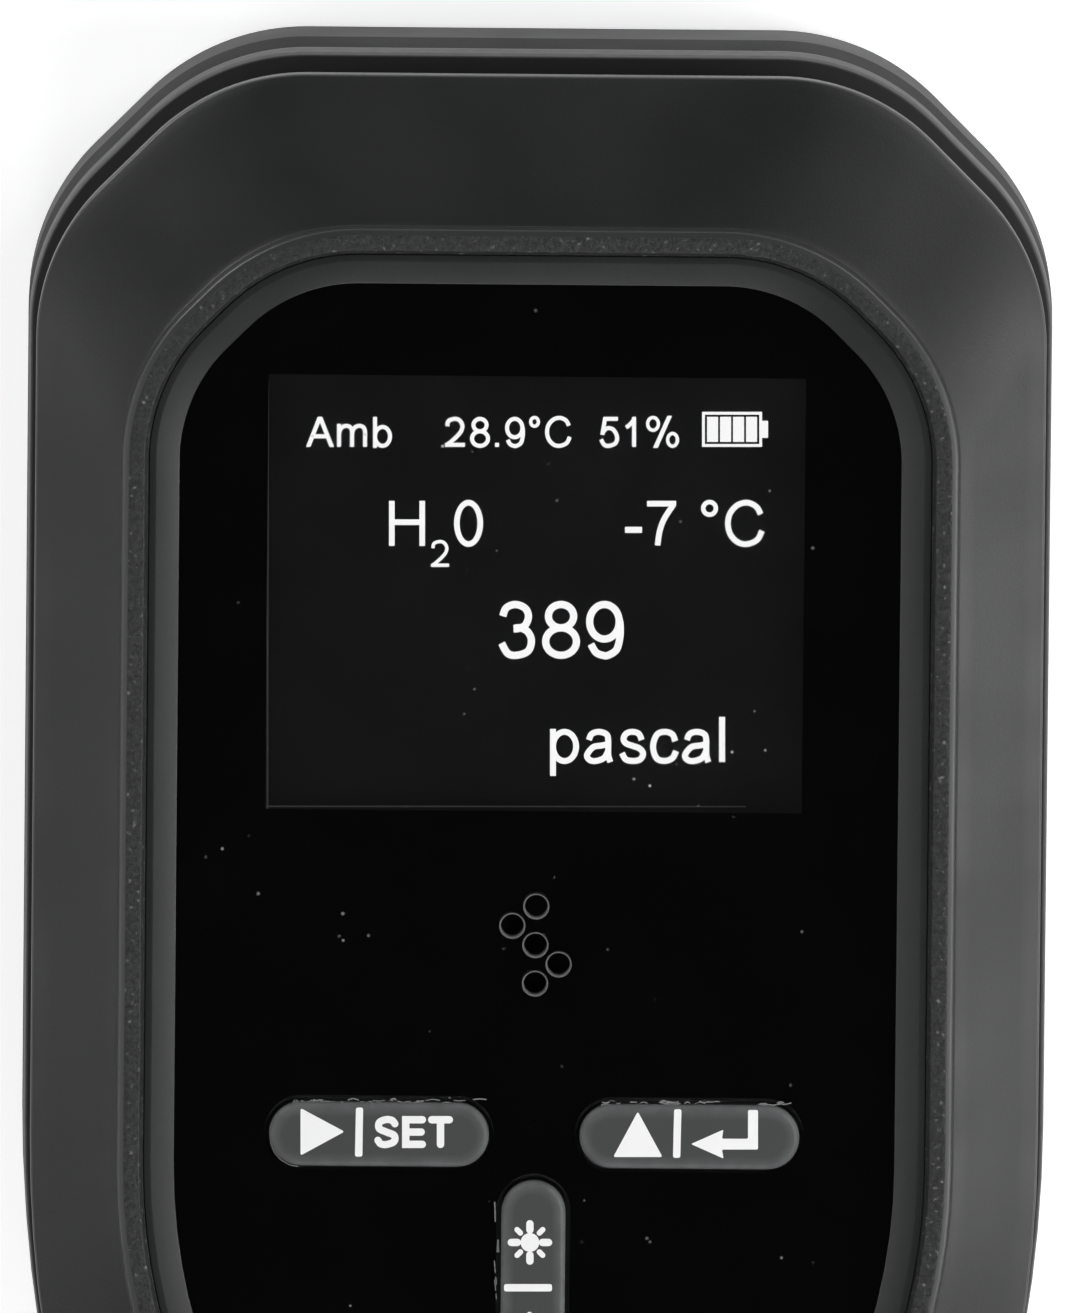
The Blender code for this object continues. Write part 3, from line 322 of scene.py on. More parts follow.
HOUSING_ABS = spark_eroded_abs("spark_eroded_abs", HOUSING_HEX, GRAIN_MM, 0.012, 0.44, 0.38)
REAR_ABS = spark_eroded_abs("dull_spark_eroded_abs", HOUSING_HEX, GRAIN_MM, 0.012, 0.54, 0.3)
RIM_ABS = spark_eroded_abs("deep_spark_eroded_abs", HOUSING_HEX, 0.24, 0.03, 0.66, 0.16)


def round_rectangle(width, height, radius, steps=8):
    x = width / 2 - radius
    y = height / 2 - radius
    points = arc(x, y, radius, 0, 90, steps)
    points += arc(-x, y, radius, 90, 180, steps)
    points += arc(-x, -y, radius, 180, 270, steps)
    points += arc(x, -y, radius, 270, 360, steps)
    return points


def middle_of(node):
    low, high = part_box(node)
    return (low + high) / 2


def moved(points, x, y, turn=0.0):
    """Points turned about the origin and then shifted."""
    cosine = math.cos(turn)
    sine = math.sin(turn)
    return [(x + px * cosine - py * sine, y + px * sine + py * cosine) for px, py in points]


def on_port(mesh):
    """Stands a mesh on the port, with its Z outwards along the port from the housing's end."""
    outwards = Matrix.Rotation(math.pi / 2, 4, "X")
    mesh.transform(Matrix.Translation((0.0, BODY.end, middle_of("port_seal").z)) @ outwards)
    return mesh


def port_hole():
    """The round hole through the end walls in which the port and its seal sit."""
    low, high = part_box("port_seal")
    return on_port(prism_mesh("port_hole", circle((high.x - low.x) / 2 + CLEARANCE), -11 * MM, 3 * MM))


def screw_columns(radius, low, high):
    """One upright cylinder at each of the four housing screws."""
    return [prism_mesh("column", circle(radius, 36), low, high, middle_of(f"case_screw_{corner}"))
            for corner in CORNERS]


def door_outline(grown):
    """Width, length and middle of the battery door without its tongues, grown by a margin."""
    low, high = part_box("battery_door")
    top = high.y - TONGUE
    return high.x - low.x + 2 * grown, top - low.y + 2 * grown, (0.0, (top + low.y) / 2)


def door_prism(grown, low, high):
    width, length, middle = door_outline(grown)
    return prism_mesh("door_prism", round_rectangle(width, length, DOOR_CORNER + grown), low, high, middle)


def bay_prism(grown, low, high):
    cell_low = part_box("battery_1")[0]
    half = CLEARANCE - cell_low.x + grown
    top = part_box("contact_top_pair")[1].y + CLEARANCE + grown
    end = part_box("contact_low_pair")[0].y - CLEARANCE - grown
    shape = round_rectangle(2 * half, top - end, BAY_WALL / 2 + grown)
    return prism_mesh("bay_prism", shape, low, high, (0.0, (top + end) / 2))


def rear_shell():
    outside = fillet((
        (4.0 * MM, 0.0, 0.0),
        (0.0, 0.0, REAR_ROUND),
        (0.0, REAR_BREAK_Z, 0.3 * MM),
        (REAR_RIM_INSET, REAR_RIM_Z, 0.12 * MM),
        (REAR_RIM_INSET + REAR_WALL, REAR_RIM_Z, 0.0),
    ), 8)
    inside = [(REAR_WALL, REAR_BREAK_Z), (REAR_WALL + 1.2 * MM, FLOOR)]
    mesh = loft_mesh("rear_shell_skin", [(outline(BODY, inset), z) for inset, z in outside + inside])
    door_low, door_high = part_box("battery_door")
    screw = middle_of("door_screw")
    bay_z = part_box("battery_1")[1].z + CLEARANCE
    mesh = carve(mesh, [
        bay_prism(BAY_WALL, FLOOR / 2, bay_z + BAY_WALL),
        door_prism(DOOR_FRAME, FLOOR / 2, DOOR_FRAME_Z),
        prism_mesh("post", circle(POST_RADIUS), FLOOR / 2, POST_Z, screw),
    ] + screw_columns(BOSS_RADIUS, FLOOR / 2, BOSS_Z), "UNION")
    head_low, head_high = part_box("case_screw_low_left")
    head_radius = (head_high.x - head_low.x) / 2 + CLEARANCE
    slots = []
    for side in (-1, 1):
        slot = round_rectangle(4.6 * MM, 4.2 * MM, CLEARANCE)
        place = (side * TONGUE_X, door_high.y - TONGUE)
        slots.append(prism_mesh("slot", slot, door_high.z - 1.3 * MM, door_high.z + CLEARANCE / 2, place))
    mesh = carve(mesh, [
        bay_prism(0.0, -MM, bay_z),
        door_prism(CLEARANCE, -MM, door_high.z + CLEARANCE),
        prism_mesh("pilot", circle(PILOT_RADIUS), -MM, 7.0 * MM, screw),
    ] + slots)
    mesh = carve(mesh, [port_hole()] + screw_columns(head_radius, -MM, head_low.z + 1.9 * MM))
    mesh = carve(mesh, screw_columns(PILOT_RADIUS, FLOOR, 17 * MM))
    mesh.materials.append(REAR_ABS)
    mesh.materials.append(RIM_ABS)
    for face in mesh.polygons:
        face.material_index = 1 if REAR_BREAK_Z < face.center.z < REAR_RIM_Z else 0
    piece = new_piece("rear_shell_skin", mesh)
    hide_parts("rear_shell")


rear_shell()


# Cells and contacts. Three AAA cells in a printed foil wrap lie in the bay, in series, between
# nickel plated spring steel plates and conical springs.
STEEL_HEX = "b9bbbd"
WRAP_HEX = "1d2127"
CAP_HEX = "c4c6c8"


def brushed_steel(name, hex_colour, roughness):
    """Nickel plated steel: bright, with faint drawing lines along its length."""
    material, shader, place = new_material(name, {"Metallic": 1.0, "Base Color": linear(hex_colour)})
    stretch = add_node(material, "ShaderNodeMapping", {"Scale": (1.0, 0.06, 1.0)}, {"Vector": place})
    lines = add_node(
        material, "ShaderNodeTexNoise", {"Scale": 1 / (0.12 * MM), "Detail": 2.0},
        {"Vector": stretch.outputs["Vector"]},
    )
    spread = add_node(
        material, "ShaderNodeMapRange",
        {"To Min": roughness - 0.08, "To Max": roughness + 0.1}, {"Value": lines.outputs["Fac"]},
    )
    material.node_tree.links.new(spread.outputs["Result"], shader.inputs["Roughness"])
    return material


PLATED_STEEL = brushed_steel("nickel_plated_steel", STEEL_HEX, 0.3)


def foil_wrap(name):
    """A cell's foil wrap: dark satin print, with bare steel colour over the last 12 mm at its low end."""
    material, shader, place = new_material(name, {"Roughness": 0.32})
    low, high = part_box("battery_2")
    split = add_node(material, "ShaderNodeSeparateXYZ", links={"Vector": place})
    shade = add_node(
        material, "ShaderNodeTexNoise", {"Scale": 1 / (2.5 * MM), "Detail": 1.0}, {"Vector": place}
    )
    band = add_node(
        material, "ShaderNodeMapRange",
        {"From Min": low.y + 12 * MM, "From Max": low.y + 12.2 * MM}, {"Value": split.outputs["Y"]},
    )
    tint = add_node(material, "ShaderNodeMix", {"data_type": "RGBA"}, {"Factor": band.outputs["Result"]})
    tint.inputs["A"].default_value = linear(CAP_HEX)
    tint.inputs["B"].default_value = linear(WRAP_HEX)
    material.node_tree.links.new(tint.outputs["Result"], shader.inputs["Base Color"])
    lift = add_node(
        material, "ShaderNodeBump", {"Strength": 0.3, "Distance": 0.05 * MM}, {"Height": shade.outputs["Fac"]}
    )
    material.node_tree.links.new(lift.outputs["Normal"], shader.inputs["Normal"])
    return material


def dress(node, material, bevel_mm=0.0):
    """Gives a carried-over solid its material, smooth rounds and, where it has one, a small edge break."""
    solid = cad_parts[node]
    solid.data.materials.clear()
    solid.data.materials.append(material)
    solid.data.shade_smooth()
    solid.data.set_sharp_from_angle(angle=math.radians(32))
    if bevel_mm:
        edge = solid.modifiers.new("edge_break", "BEVEL")
        edge.width = bevel_mm * MM
        edge.segments = 2
        edge.limit_method = "ANGLE"
        edge.angle_limit = math.radians(35)
        edge.harden_normals = True


FOIL_WRAP = foil_wrap("foil_wrap")
for number in (1, 2, 3):
    dress(f"battery_{number}", FOIL_WRAP)
    dress(f"battery_spring_{number}", PLATED_STEEL)
for plate in ("contact_top_pair", "contact_top_single", "contact_low_single", "contact_low_pair"):
    dress(plate, PLATED_STEEL)


# Battery door. A flush ABS lid from the same mould shop as the rear shell, with grip grooves at its
# foot. One zinc plated screw holds it, and four longer ones hold the housing together.
ZINC_HEX = "a9abae"
GROOVES = 5
GROOVE_PITCH = 1.6 * MM
GROOVE_OFFSET = 12.0 * MM
GROOVE_LENGTH = 16.0 * MM
GROOVE_WIDTH = 0.8 * MM
GROOVE_DEPTH = 0.4 * MM
SOCKET = 2.2 * MM
SCREW_SHANK = 1.25 * MM


def stadium(length, width, steps=20):
    radius = width / 2
    reach = length / 2 - radius
    points = arc(reach, 0.0, radius, -90, 90, steps)
    points += arc(-reach, 0.0, radius, 90, 270, steps)
    return points


def battery_door():
    low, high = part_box("battery_door")
    width, length, middle = door_outline(0.0)
    section = fillet((
        (1.5 * MM, low.z, 0.0), (0.0, low.z, 0.25 * MM), (0.0, high.z, 0.1 * MM), (1.5 * MM, high.z, 0.0),
    ))
    rings = []
    for inset, z in section:
        shape = round_rectangle(width - 2 * inset, length - 2 * inset, DOOR_CORNER - inset)
        rings.append((moved(shape, *middle), z))
    grooves = []
    for number in range(GROOVES):
        place = (0.0, low.y + GROOVE_OFFSET + number * GROOVE_PITCH)
        mouth = moved(stadium(GROOVE_LENGTH, GROOVE_WIDTH), *place)
        root = moved(stadium(GROOVE_LENGTH - 0.3 * MM, GROOVE_WIDTH - 0.3 * MM), *place)
        grooves.append(loft_mesh("groove", [(mouth, -MM), (mouth, low.z), (root, low.z + GROOVE_DEPTH)]))
    screw_low, screw_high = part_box("door_screw")
    screw = middle_of("door_screw")
    head_radius = (screw_high.x - screw_low.x) / 2 + CLEARANCE
    head = prism_mesh("head", circle(head_radius), -MM, low.z + 1.2 * MM, screw)
    hole = prism_mesh("hole", circle(PILOT_RADIUS), -MM, high.z + MM, screw)
    mesh = carve(loft_mesh("battery_door_lid", rings), grooves + [head])
    mesh = carve(mesh, [hole])
    tongues = []
    for side in (-1, 1):
        shape = round_rectangle(4.0 * MM, 2 * TONGUE, CLEARANCE)
        place = (side * TONGUE_X, high.y - TONGUE)
        tongues.append(prism_mesh("tongue", shape, high.z - 1.0 * MM, high.z - 0.2 * MM, place))
    mesh = carve(mesh, tongues, "UNION")
    piece = new_piece("battery_door_lid", mesh)
    piece.data.materials.append(REAR_ABS)
    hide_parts("battery_door")


def pan_screw(node, head_mm):
    """A pan head screw, its head down, with a cross recess in the head and a plain shank."""
    low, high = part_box(node)
    middle = middle_of(node)
    radius = (high.x - low.x) / 2
    section = fillet((
        (0.3 * MM, low.z, 0.0),
        (radius, low.z, head_mm * 0.6 * MM),
        (radius, low.z + head_mm * MM, 0.08 * MM),
        (SCREW_SHANK, low.z + head_mm * MM, 0.0),
        (SCREW_SHANK, high.z - 1.2 * MM, 0.0),
        (0.4 * MM, high.z, 0.0),
    ))
    mesh = loft_mesh(f"{node}_turned", [(moved(circle(r), middle.x, middle.y), z) for r, z in section])
    recess = []
    for turn in (0.0, math.pi / 2):
        wide = moved(round_rectangle(SOCKET, 0.42 * MM, 0.05 * MM), middle.x, middle.y, turn)
        deep = moved(round_rectangle(SOCKET * 0.4, 0.3 * MM, 0.05 * MM), middle.x, middle.y, turn)
        recess.append(loft_mesh("recess", [(wide, low.z - 0.1 * MM), (deep, low.z + head_mm * 0.7 * MM)]))
    piece = new_piece(f"{node}_turned", carve(mesh, recess))
    piece.data.materials.append(ZINC_STEEL)
    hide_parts(node)


ZINC_STEEL = brushed_steel("zinc_plated_steel", ZINC_HEX, 0.34)
battery_door()
pan_screw("door_screw", 0.9)
for corner in CORNERS:
    pan_screw(f"case_screw_{corner}", 1.6)


# Shell seal. A moulded TPE band clamped between the shells, rounded outside and slightly proud of
# the groove in front of it. Its skin is smoother than the housing and a little uneven.
SEAL_Z = 11.3 * MM
SEAL_HEIGHT = 3.9 * MM
SEAL_INNER = 3.3 * MM
SEAL_HEX = "1f1f20"


def moulded_rubber(name, hex_colour, roughness, lump_mm, depth_mm):
    """Moulded elastomer: dull black with a soft sheen and slow unevenness from its mould."""
    material, shader, place = new_material(name, {"Base Color": linear(hex_colour), "IOR": 1.5})
    lumps = add_node(
        material, "ShaderNodeTexNoise", {"Scale": 1 / (lump_mm * MM), "Detail": 2.0}, {"Vector": place}
    )
    spread = add_node(
        material, "ShaderNodeMapRange",
        {"To Min": roughness - 0.06, "To Max": roughness + 0.06}, {"Value": lumps.outputs["Fac"]},
    )
    lift = add_node(
        material, "ShaderNodeBump", {"Strength": 1.0, "Distance": depth_mm * MM},
        {"Height": lumps.outputs["Fac"]},
    )
    material.node_tree.links.new(spread.outputs["Result"], shader.inputs["Roughness"])
    material.node_tree.links.new(lift.outputs["Normal"], shader.inputs["Normal"])
    return material


SEAL_RUBBER = moulded_rubber("moulded_tpe", SEAL_HEX, 0.52, 0.9, 0.02)


def shell_seal():
    top = SEAL_Z + SEAL_HEIGHT
    profile = fillet((
        (SEAL_INNER, SEAL_Z, 0.0),
        (0.22 * MM, SEAL_Z, 0.12 * MM),
        (0.08 * MM, SEAL_Z + 1.4 * MM, 0.9 * MM),
        (0.12 * MM, SEAL_Z + 3.2 * MM, 0.6 * MM),
        (0.24 * MM, top, 0.16 * MM),
        (SEAL_INNER, top, 0.0),
    ))
    mesh = loft_mesh("shell_seal_band", [(outline(BODY, inset), z) for inset, z in profile], True)
    mesh = carve(mesh, [port_hole()])
    piece = new_piece("shell_seal_band", mesh)
    piece.data.materials.append(SEAL_RUBBER)
    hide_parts("shell_seal")


shell_seal()


# Boards and parts. Two fibreglass boards under green solder mask carry the processor, the buzzer,
# the ambient sensor and the header between them.
MASK_HEX = "0d3d24"
PART_HEX = "17181a"


def solder_mask(name):
    """Fibreglass board under solder mask: glossy green with the weave just showing."""
    material, shader, place = new_material(name, {"Roughness": 0.28})
    weave = add_node(
        material, "ShaderNodeTexWave",
        {"Scale": 1 / (1.6 * MM), "Distortion": 0.4}, {"Vector": place},
    )
    tint = add_node(material, "ShaderNodeMix", {"data_type": "RGBA"}, {"Factor": weave.outputs["Fac"]})
    tint.inputs["A"].default_value = linear(MASK_HEX)
    tint.inputs["B"].default_value = tuple(c * 1.25 for c in linear(MASK_HEX)[:3]) + (1.0,)
    material.node_tree.links.new(tint.outputs["Result"], shader.inputs["Base Color"])
    return material


SOLDER_MASK = solder_mask("green_solder_mask")
PART_EPOXY = spark_eroded_abs("moulded_epoxy", PART_HEX, 0.1, 0.004, 0.5)
for board in ("main_board", "sensor_board"):
    dress(board, SOLDER_MASK)
for component in ("processor", "ambient_sensor", "buzzer", "sensor_header"):
    dress(component, PART_EPOXY)


# Display. A liquid crystal cell in a steel backlight tray. Its black state glows faintly, so the
# window stands out from the ink round it, and a bright edge of the polarising film shows.
GLASS_HEX = "0a0a0b"
BACKLIGHT_HEX = "f2f4ff"
LIT_HEX = "ffffff"
UNLIT_HEX = "101010"
DARK_GLOW = 0.0048
FIGURE_GLOW = 1.15
FILM_GLOW = 0.034
FIGURE_THICK = 0.02 * MM
WINDOW = (265, 378, 806, 808)
STROKES = {
    "A": (("bar", (0, 0), (0.5, 1)), ("bar", (1, 0), (0.5, 1)), ("line", (0.2, 0.33), (0.8, 0.33))),
    "m": (
        ("line", (0, 0), (0, 1)),
        ("curve", (0, 0.6), (0.08, 0.88), (0.26, 1), (0.43, 0.93), (0.5, 0.7), (0.5, 0.3), (0.5, -0.1)),
        ("curve", (0.5, 0.6), (0.58, 0.88), (0.76, 1), (0.93, 0.93), (1, 0.7), (1, 0.3), (1, -0.1)),
    ),
    "b": (("line", (0, 0), (0, 1)), ("oval", 0.5, 0.35, 0.5, 0.35)),
    "2": (
        ("curve", (0.02, 0.72), (0.1, 0.92), (0.5, 1), (0.8, 0.93), (0.96, 0.74), (0.9, 0.55),
         (0.7, 0.38), (0.4, 0.2), (0.05, 0.02)),
        ("line", (0, 0), (1, 0)),
    ),
    "8": (("oval", 0.5, 0.77, 0.41, 0.23), ("oval", 0.5, 0.27, 0.5, 0.27)),
    "9": (
        ("oval", 0.48, 0.66, 0.48, 0.34),
        ("curve", (0.98, 0.68), (0.99, 0.4), (0.88, 0.12), (0.6, 0), (0.42, 0), (0.2, 0.06), (0.04, 0.22)),
    ),
    "0": (("oval", 0.5, 0.5, 0.5, 0.5),),
    "C": (
        ("curve", (0.95, 0.72), (0.83, 0.9), (0.57, 1), (0.28, 0.94), (0.07, 0.75), (0, 0.5),
         (0.07, 0.24), (0.28, 0.05), (0.55, 0), (0.85, 0.1), (0.99, 0.32)),
    ),
    "5": (
        ("line", (0.93, 1), (0.25, 1), (0.1, 0.48)),
        ("curve", (0.09, 0.47), (0.27, 0.61), (0.5, 0.66), (0.8, 0.58), (1, 0.33), (0.9, 0.1), (0.5, 0),
         (0.2, 0.04), (0, 0.24)),
    ),
    "1": (("line", (1, 0), (1, 1)), ("curve", (0.98, 0.97), (0.65, 0.84), (0.3, 0.73), (0, 0.67))),
    "/": (("bar", (0, 0), (1, 1)),),
    "H": (("line", (0, 0), (0, 1)), ("line", (1, 0), (1, 1)), ("line", (0, 0.53), (1, 0.53))),
    "7": (("line", (0, 1), (1, 1)), ("curve", (0.98, 0.95), (0.62, 0.62), (0.42, 0.3), (0.33, -0.06))),
    "3": (
        ("curve", (0.04, 0.77), (0.15, 0.93), (0.45, 1), (0.78, 0.93), (0.9, 0.77), (0.8, 0.6),
         (0.58, 0.53), (0.4, 0.52)),
        ("curve", (0.42, 0.53), (0.62, 0.54), (0.88, 0.46), (1, 0.28), (0.88, 0.08), (0.5, 0),
         (0.2, 0.04), (0, 0.24)),
    ),
    "p": (("line", (0, 0), (0, 1)), ("oval", 0.5, 0.645, 0.5, 0.355)),
    "a": (
        ("curve", (0.08, 0.72), (0.2, 0.93), (0.5, 1), (0.8, 0.92), (0.88, 0.72), (0.88, 0.25),
         (0.92, 0.08), (0.97, -0.04)),
        ("curve", (0.88, 0.58), (0.6, 0.53), (0.25, 0.47), (0, 0.2), (0.12, 0.03), (0.38, 0),
         (0.7, 0.1), (0.87, 0.32)),
    ),
    "s": (
        ("curve", (0.93, 0.72), (0.8, 0.93), (0.5, 1), (0.2, 0.94), (0.07, 0.75), (0.2, 0.6), (0.5, 0.52),
         (0.85, 0.42), (1, 0.24), (0.85, 0.05), (0.5, 0), (0.17, 0.06), (0, 0.27)),
    ),
    "c": (
        ("curve", (0.96, 0.68), (0.83, 0.92), (0.5, 1), (0.17, 0.9), (0, 0.5), (0.15, 0.1), (0.5, 0),
         (0.84, 0.1), (1, 0.34)),
    ),
    "block": (("fill",),),
}
READINGS = (
    ("figure_ambient", 4.0, (
        ("A", 306, 416, 334, 446), ("m", 337, 423, 367, 446), ("b", 373, 416, 392, 447),
    )),
    ("figure_air", 4.0, (
        ("2", 445, 416, 465, 446), ("8", 470, 416, 490, 447), ("block", 495, 442, 499, 446),
        ("9", 505, 416, 525, 447), ("C", 545, 415, 572, 447),
    )),
    ("figure_humidity", 4.0, (
        ("5", 599, 416, 619, 447), ("1", 624, 416, 636, 446), ("/", 653, 415, 672, 447),
    )),
    ("figure_small_signs", 3.3, (
        ("0", 529, 415, 540, 427), ("0", 646, 415, 660, 431), ("0", 666, 431, 679, 447),
        ("2", 431, 539, 449, 566),
    )),
    ("figure_water", 5.6, (("H", 389, 500, 425, 545), ("0", 454, 499, 483, 546))),
    ("figure_boiling", 5.6, (
        ("block", 625, 526, 642, 532), ("7", 647, 500, 676, 545), ("C", 725, 499, 765, 546),
    )),
    ("figure_degree", 4.4, (("0", 701, 499, 718, 516),)),
    ("figure_vacuum", 7.2, (("3", 498, 600, 535, 658), ("8", 542, 600, 580, 658), ("9", 586, 600, 624, 658))),
    ("figure_unit", 5.9, (
        ("p", 550, 728, 579, 775), ("a", 584, 728, 614, 763), ("s", 619, 728, 646, 763),
        ("c", 650, 728, 679, 763), ("a", 682, 728, 712, 763), ("block", 719, 716, 725, 761),
    )),
    ("figure_battery", 2.8, (
        ("block", 702, 411, 762, 413.8), ("block", 702, 443.2, 762, 446), ("block", 702, 411, 704.8, 446),
        ("block", 759.2, 411, 762, 446), ("block", 762, 420, 768, 437), ("block", 707, 416, 718, 441),
        ("block", 720, 416, 731, 441), ("block", 733, 416, 744, 441), ("block", 746, 416, 757, 441),
    )),
)


def glowing(name, hex_colour, strength):
    """Lit pixels seen through the cell: even light with a soft diffuse face when it is off."""
    material, shader, place = new_material(name, {"Roughness": 0.4, "Base Color": linear(UNLIT_HEX)})
    shader.inputs["Emission Color"].default_value = linear(hex_colour)
    shader.inputs["Emission Strength"].default_value = strength
    grid = add_node(
        material, "ShaderNodeTexNoise", {"Scale": 1 / (0.22 * MM), "Detail": 1.0}, {"Vector": place}
    )
    lift = add_node(
        material, "ShaderNodeBump", {"Strength": 0.1, "Distance": 0.002 * MM}, {"Height": grid.outputs["Fac"]}
    )
    material.node_tree.links.new(lift.outputs["Normal"], shader.inputs["Normal"])
    return material


def liquid_crystal(name):
    """Unlit liquid crystal cell: near black glass with a faint uneven glow from its backlight."""
    material, shader, place = new_material(name, {"Roughness": 0.25, "Base Color": linear(GLASS_HEX)})
    shader.inputs["Emission Color"].default_value = linear(BACKLIGHT_HEX)
    leak = add_node(
        material, "ShaderNodeTexNoise", {"Scale": 1 / (9.0 * MM), "Detail": 4.0}, {"Vector": place}
    )
    level = add_node(
        material, "ShaderNodeMapRange",
        {"From Min": 0.3, "From Max": 0.7, "To Min": DARK_GLOW * 0.75, "To Max": DARK_GLOW * 1.25},
        {"Value": leak.outputs["Fac"]},
    )
    material.node_tree.links.new(level.outputs["Result"], shader.inputs["Emission Strength"])
    return material


def merged(name, meshes):
    """One mesh from several."""
    bm = bmesh.new()
    for mesh in meshes:
        bm.from_mesh(mesh)
        bpy.data.meshes.remove(mesh)
    result = bpy.data.meshes.new(name)
    bm.to_mesh(result)
    bm.free()
    return result


def flat_mesh(pixels, low, thick):
    """A flat shape at a height that covers the same pixels as in the photograph."""
    points = [at_pixel(column, row, low) for column, row in pixels]
    loop = [(point.x, point.y) for point in points]
    return loft_mesh("flat", [(loop, low), (loop, low + thick)])


def smooth(path, steps=6):
    """A path made into a flowing curve through its points."""
    padded = [path[0]] + path + [path[-1]]
    points = []
    for a, b, c, d in zip(padded, padded[1:], padded[2:], padded[3:]):
        for i in range(steps):
            t = i / steps
            bend = (2 * a - 5 * b + 4 * c - d) * t * t + (3 * b - a - 3 * c + d) * t ** 3
            points.append(b + ((c - a) * t + bend) / 2)
    return points + [path[-1]]


def round_cap(tip, start):
    return [tip + Matrix.Rotation(math.radians(-22.5 * k), 2) @ (start - tip) for k in range(1, 8)]


def pen_line(path, half, ends="butt"):
    """The outline of a pen stroke along a path, with butt, square or round ends."""
    first = (path[0] - path[1]).normalized()
    last = (path[-1] - path[-2]).normalized()
    if ends == "square":
        path = [path[0] + first * half] + path[1:-1] + [path[-1] + last * half]
    left = []
    right = []
    for i, here in enumerate(path):
        before = (here - path[i - 1]).normalized() if i else -first
        after = (path[i + 1] - here).normalized() if i < len(path) - 1 else last
        middle = (before + after).normalized()
        across = Vector((-middle.y, middle.x)) * (half / max(middle.dot(after), 0.4))
        left.append(here + across)
        right.append(here - across)
    if ends == "round":
        return left + round_cap(path[-1], left[-1]) + right[::-1] + round_cap(path[0], right[0])
    return left + right[::-1]


def glyph_meshes(strokes, box, width, low, thick, ends=None):
    """The strokes of one sign, drawn with a pen of a width inside the pixels that its ink covers."""
    left, top, right, foot = box
    half = width / 2

    def spot(u, v):
        return Vector((left + half + u * (right - left - width), foot - half - v * (foot - top - width)))

    meshes = []
    for kind, *data in strokes:
        if kind == "oval":
            u, v, reach_u, reach_v = data
            centre = spot(u, v)
            reach = spot(u + reach_u, v + reach_v) - centre
            rings = []
            for grown, z in ((half, low), (half, low + thick), (-half, low + thick), (-half, low)):
                loop = []
                for spoke in circle(1.0, 40):
                    point = at_pixel(
                        centre.x + (reach.x + grown) * spoke[0], centre.y + (grown - reach.y) * spoke[1], low
                    )
                    loop.append((point.x, point.y))
                rings.append((loop, z))
            meshes.append(loft_mesh("oval", rings, True))
            continue
        if kind == "fill":
            shape = ((left, top), (right, top), (right, foot), (left, foot))
        elif kind == "bar":
            (foot_u, foot_v), (top_u, top_v) = data
            slant = (top_u - foot_u) * (right - left)
            thick_x = half * math.hypot(slant, foot - top) / (foot - top)
            run = right - left - 2 * thick_x
            foot_x = left + thick_x + foot_u * run
            top_x = left + thick_x + top_u * run
            shape = (
                (foot_x - thick_x, foot), (foot_x + thick_x, foot),
                (top_x + thick_x, top), (top_x - thick_x, top),
            )
        else:
            path = [spot(u, v) for u, v in data]
            if kind == "curve":
                shape = pen_line(smooth(path), half, ends or "butt")
            else:
                shape = pen_line(path, half, ends or "square")
        meshes.append(flat_mesh(shape, low, thick))
    return meshes


def figures(low):
    for name, width, signs in READINGS:
        meshes = []
        for sign, *box in signs:
            meshes += glyph_meshes(STROKES[sign], box, width, low, FIGURE_THICK)
        piece = new_piece(name, merged(name, meshes))
        piece.data.materials.append(LIT_PIXELS)


def film_edge(low):
    """The cut edge of the polarising film, seen along the left and the foot of the window."""
    left, top, right, foot = WINDOW
    end = right - 60
    side = ((left + 1.6, top + 2), (left + 4.0, top + 2), (left + 3.4, foot), (left + 1.6, foot))
    base = ((left + 1, foot - 3.4), (end, foot - 2.8), (end, foot - 1.8), (left + 1, foot - 1.8))
    return merged("polariser_edge", [flat_mesh(strip, low, FIGURE_THICK) for strip in (side, base)])


LIQUID_CRYSTAL = liquid_crystal("liquid_crystal_cell")
LIT_PIXELS = glowing("lit_pixels", LIT_HEX, FIGURE_GLOW)
FILM_EDGE = glowing("cut_film_edge", LIT_HEX, FILM_GLOW)
glass_low, glass_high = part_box("display_glass")
figures(glass_high.z + FIGURE_THICK)
film = new_piece("polariser_edge", film_edge(glass_high.z + FIGURE_THICK))
film.data.materials.append(FILM_EDGE)
dress("display_glass", LIQUID_CRYSTAL)
dress("display_tray", PLATED_STEEL)


# Keypad. Three silicone keys stand through the lens on carbon contacts over a silicone mat. They
# are dark grey with printed white signs, and their rims are painted paler as painted light, for the
# light that the translucent silicone lets in at its edges.
KEY_LENGTH = 14.4 * MM
KEY_WIDTH = 4.2 * MM
KEY_PROUD = 0.6 * MM
KEY_ROUND = 0.42 * MM
STEM_LENGTH = 9.0 * MM
STEM_WIDTH = 3.0 * MM
FLANGE = 1.0 * MM
FLANGE_THICK = 0.6 * MM
KEY_HEX = "444545"
KEY_RIM_PAINTED_LIGHT_HEX = "5c5d5e"
MAT_HEX = "1a1a1b"
CARBON_HEX = "0d0d0d"
INK_HEX = "fbfbfb"
INK_THICK = 0.03 * MM
PRINT_STEP = 0.0005 * MM
LENS_LOW, LENS_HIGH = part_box("lens_panel")
KEY_TOP_Z = LENS_HIGH.z + KEY_PROUD


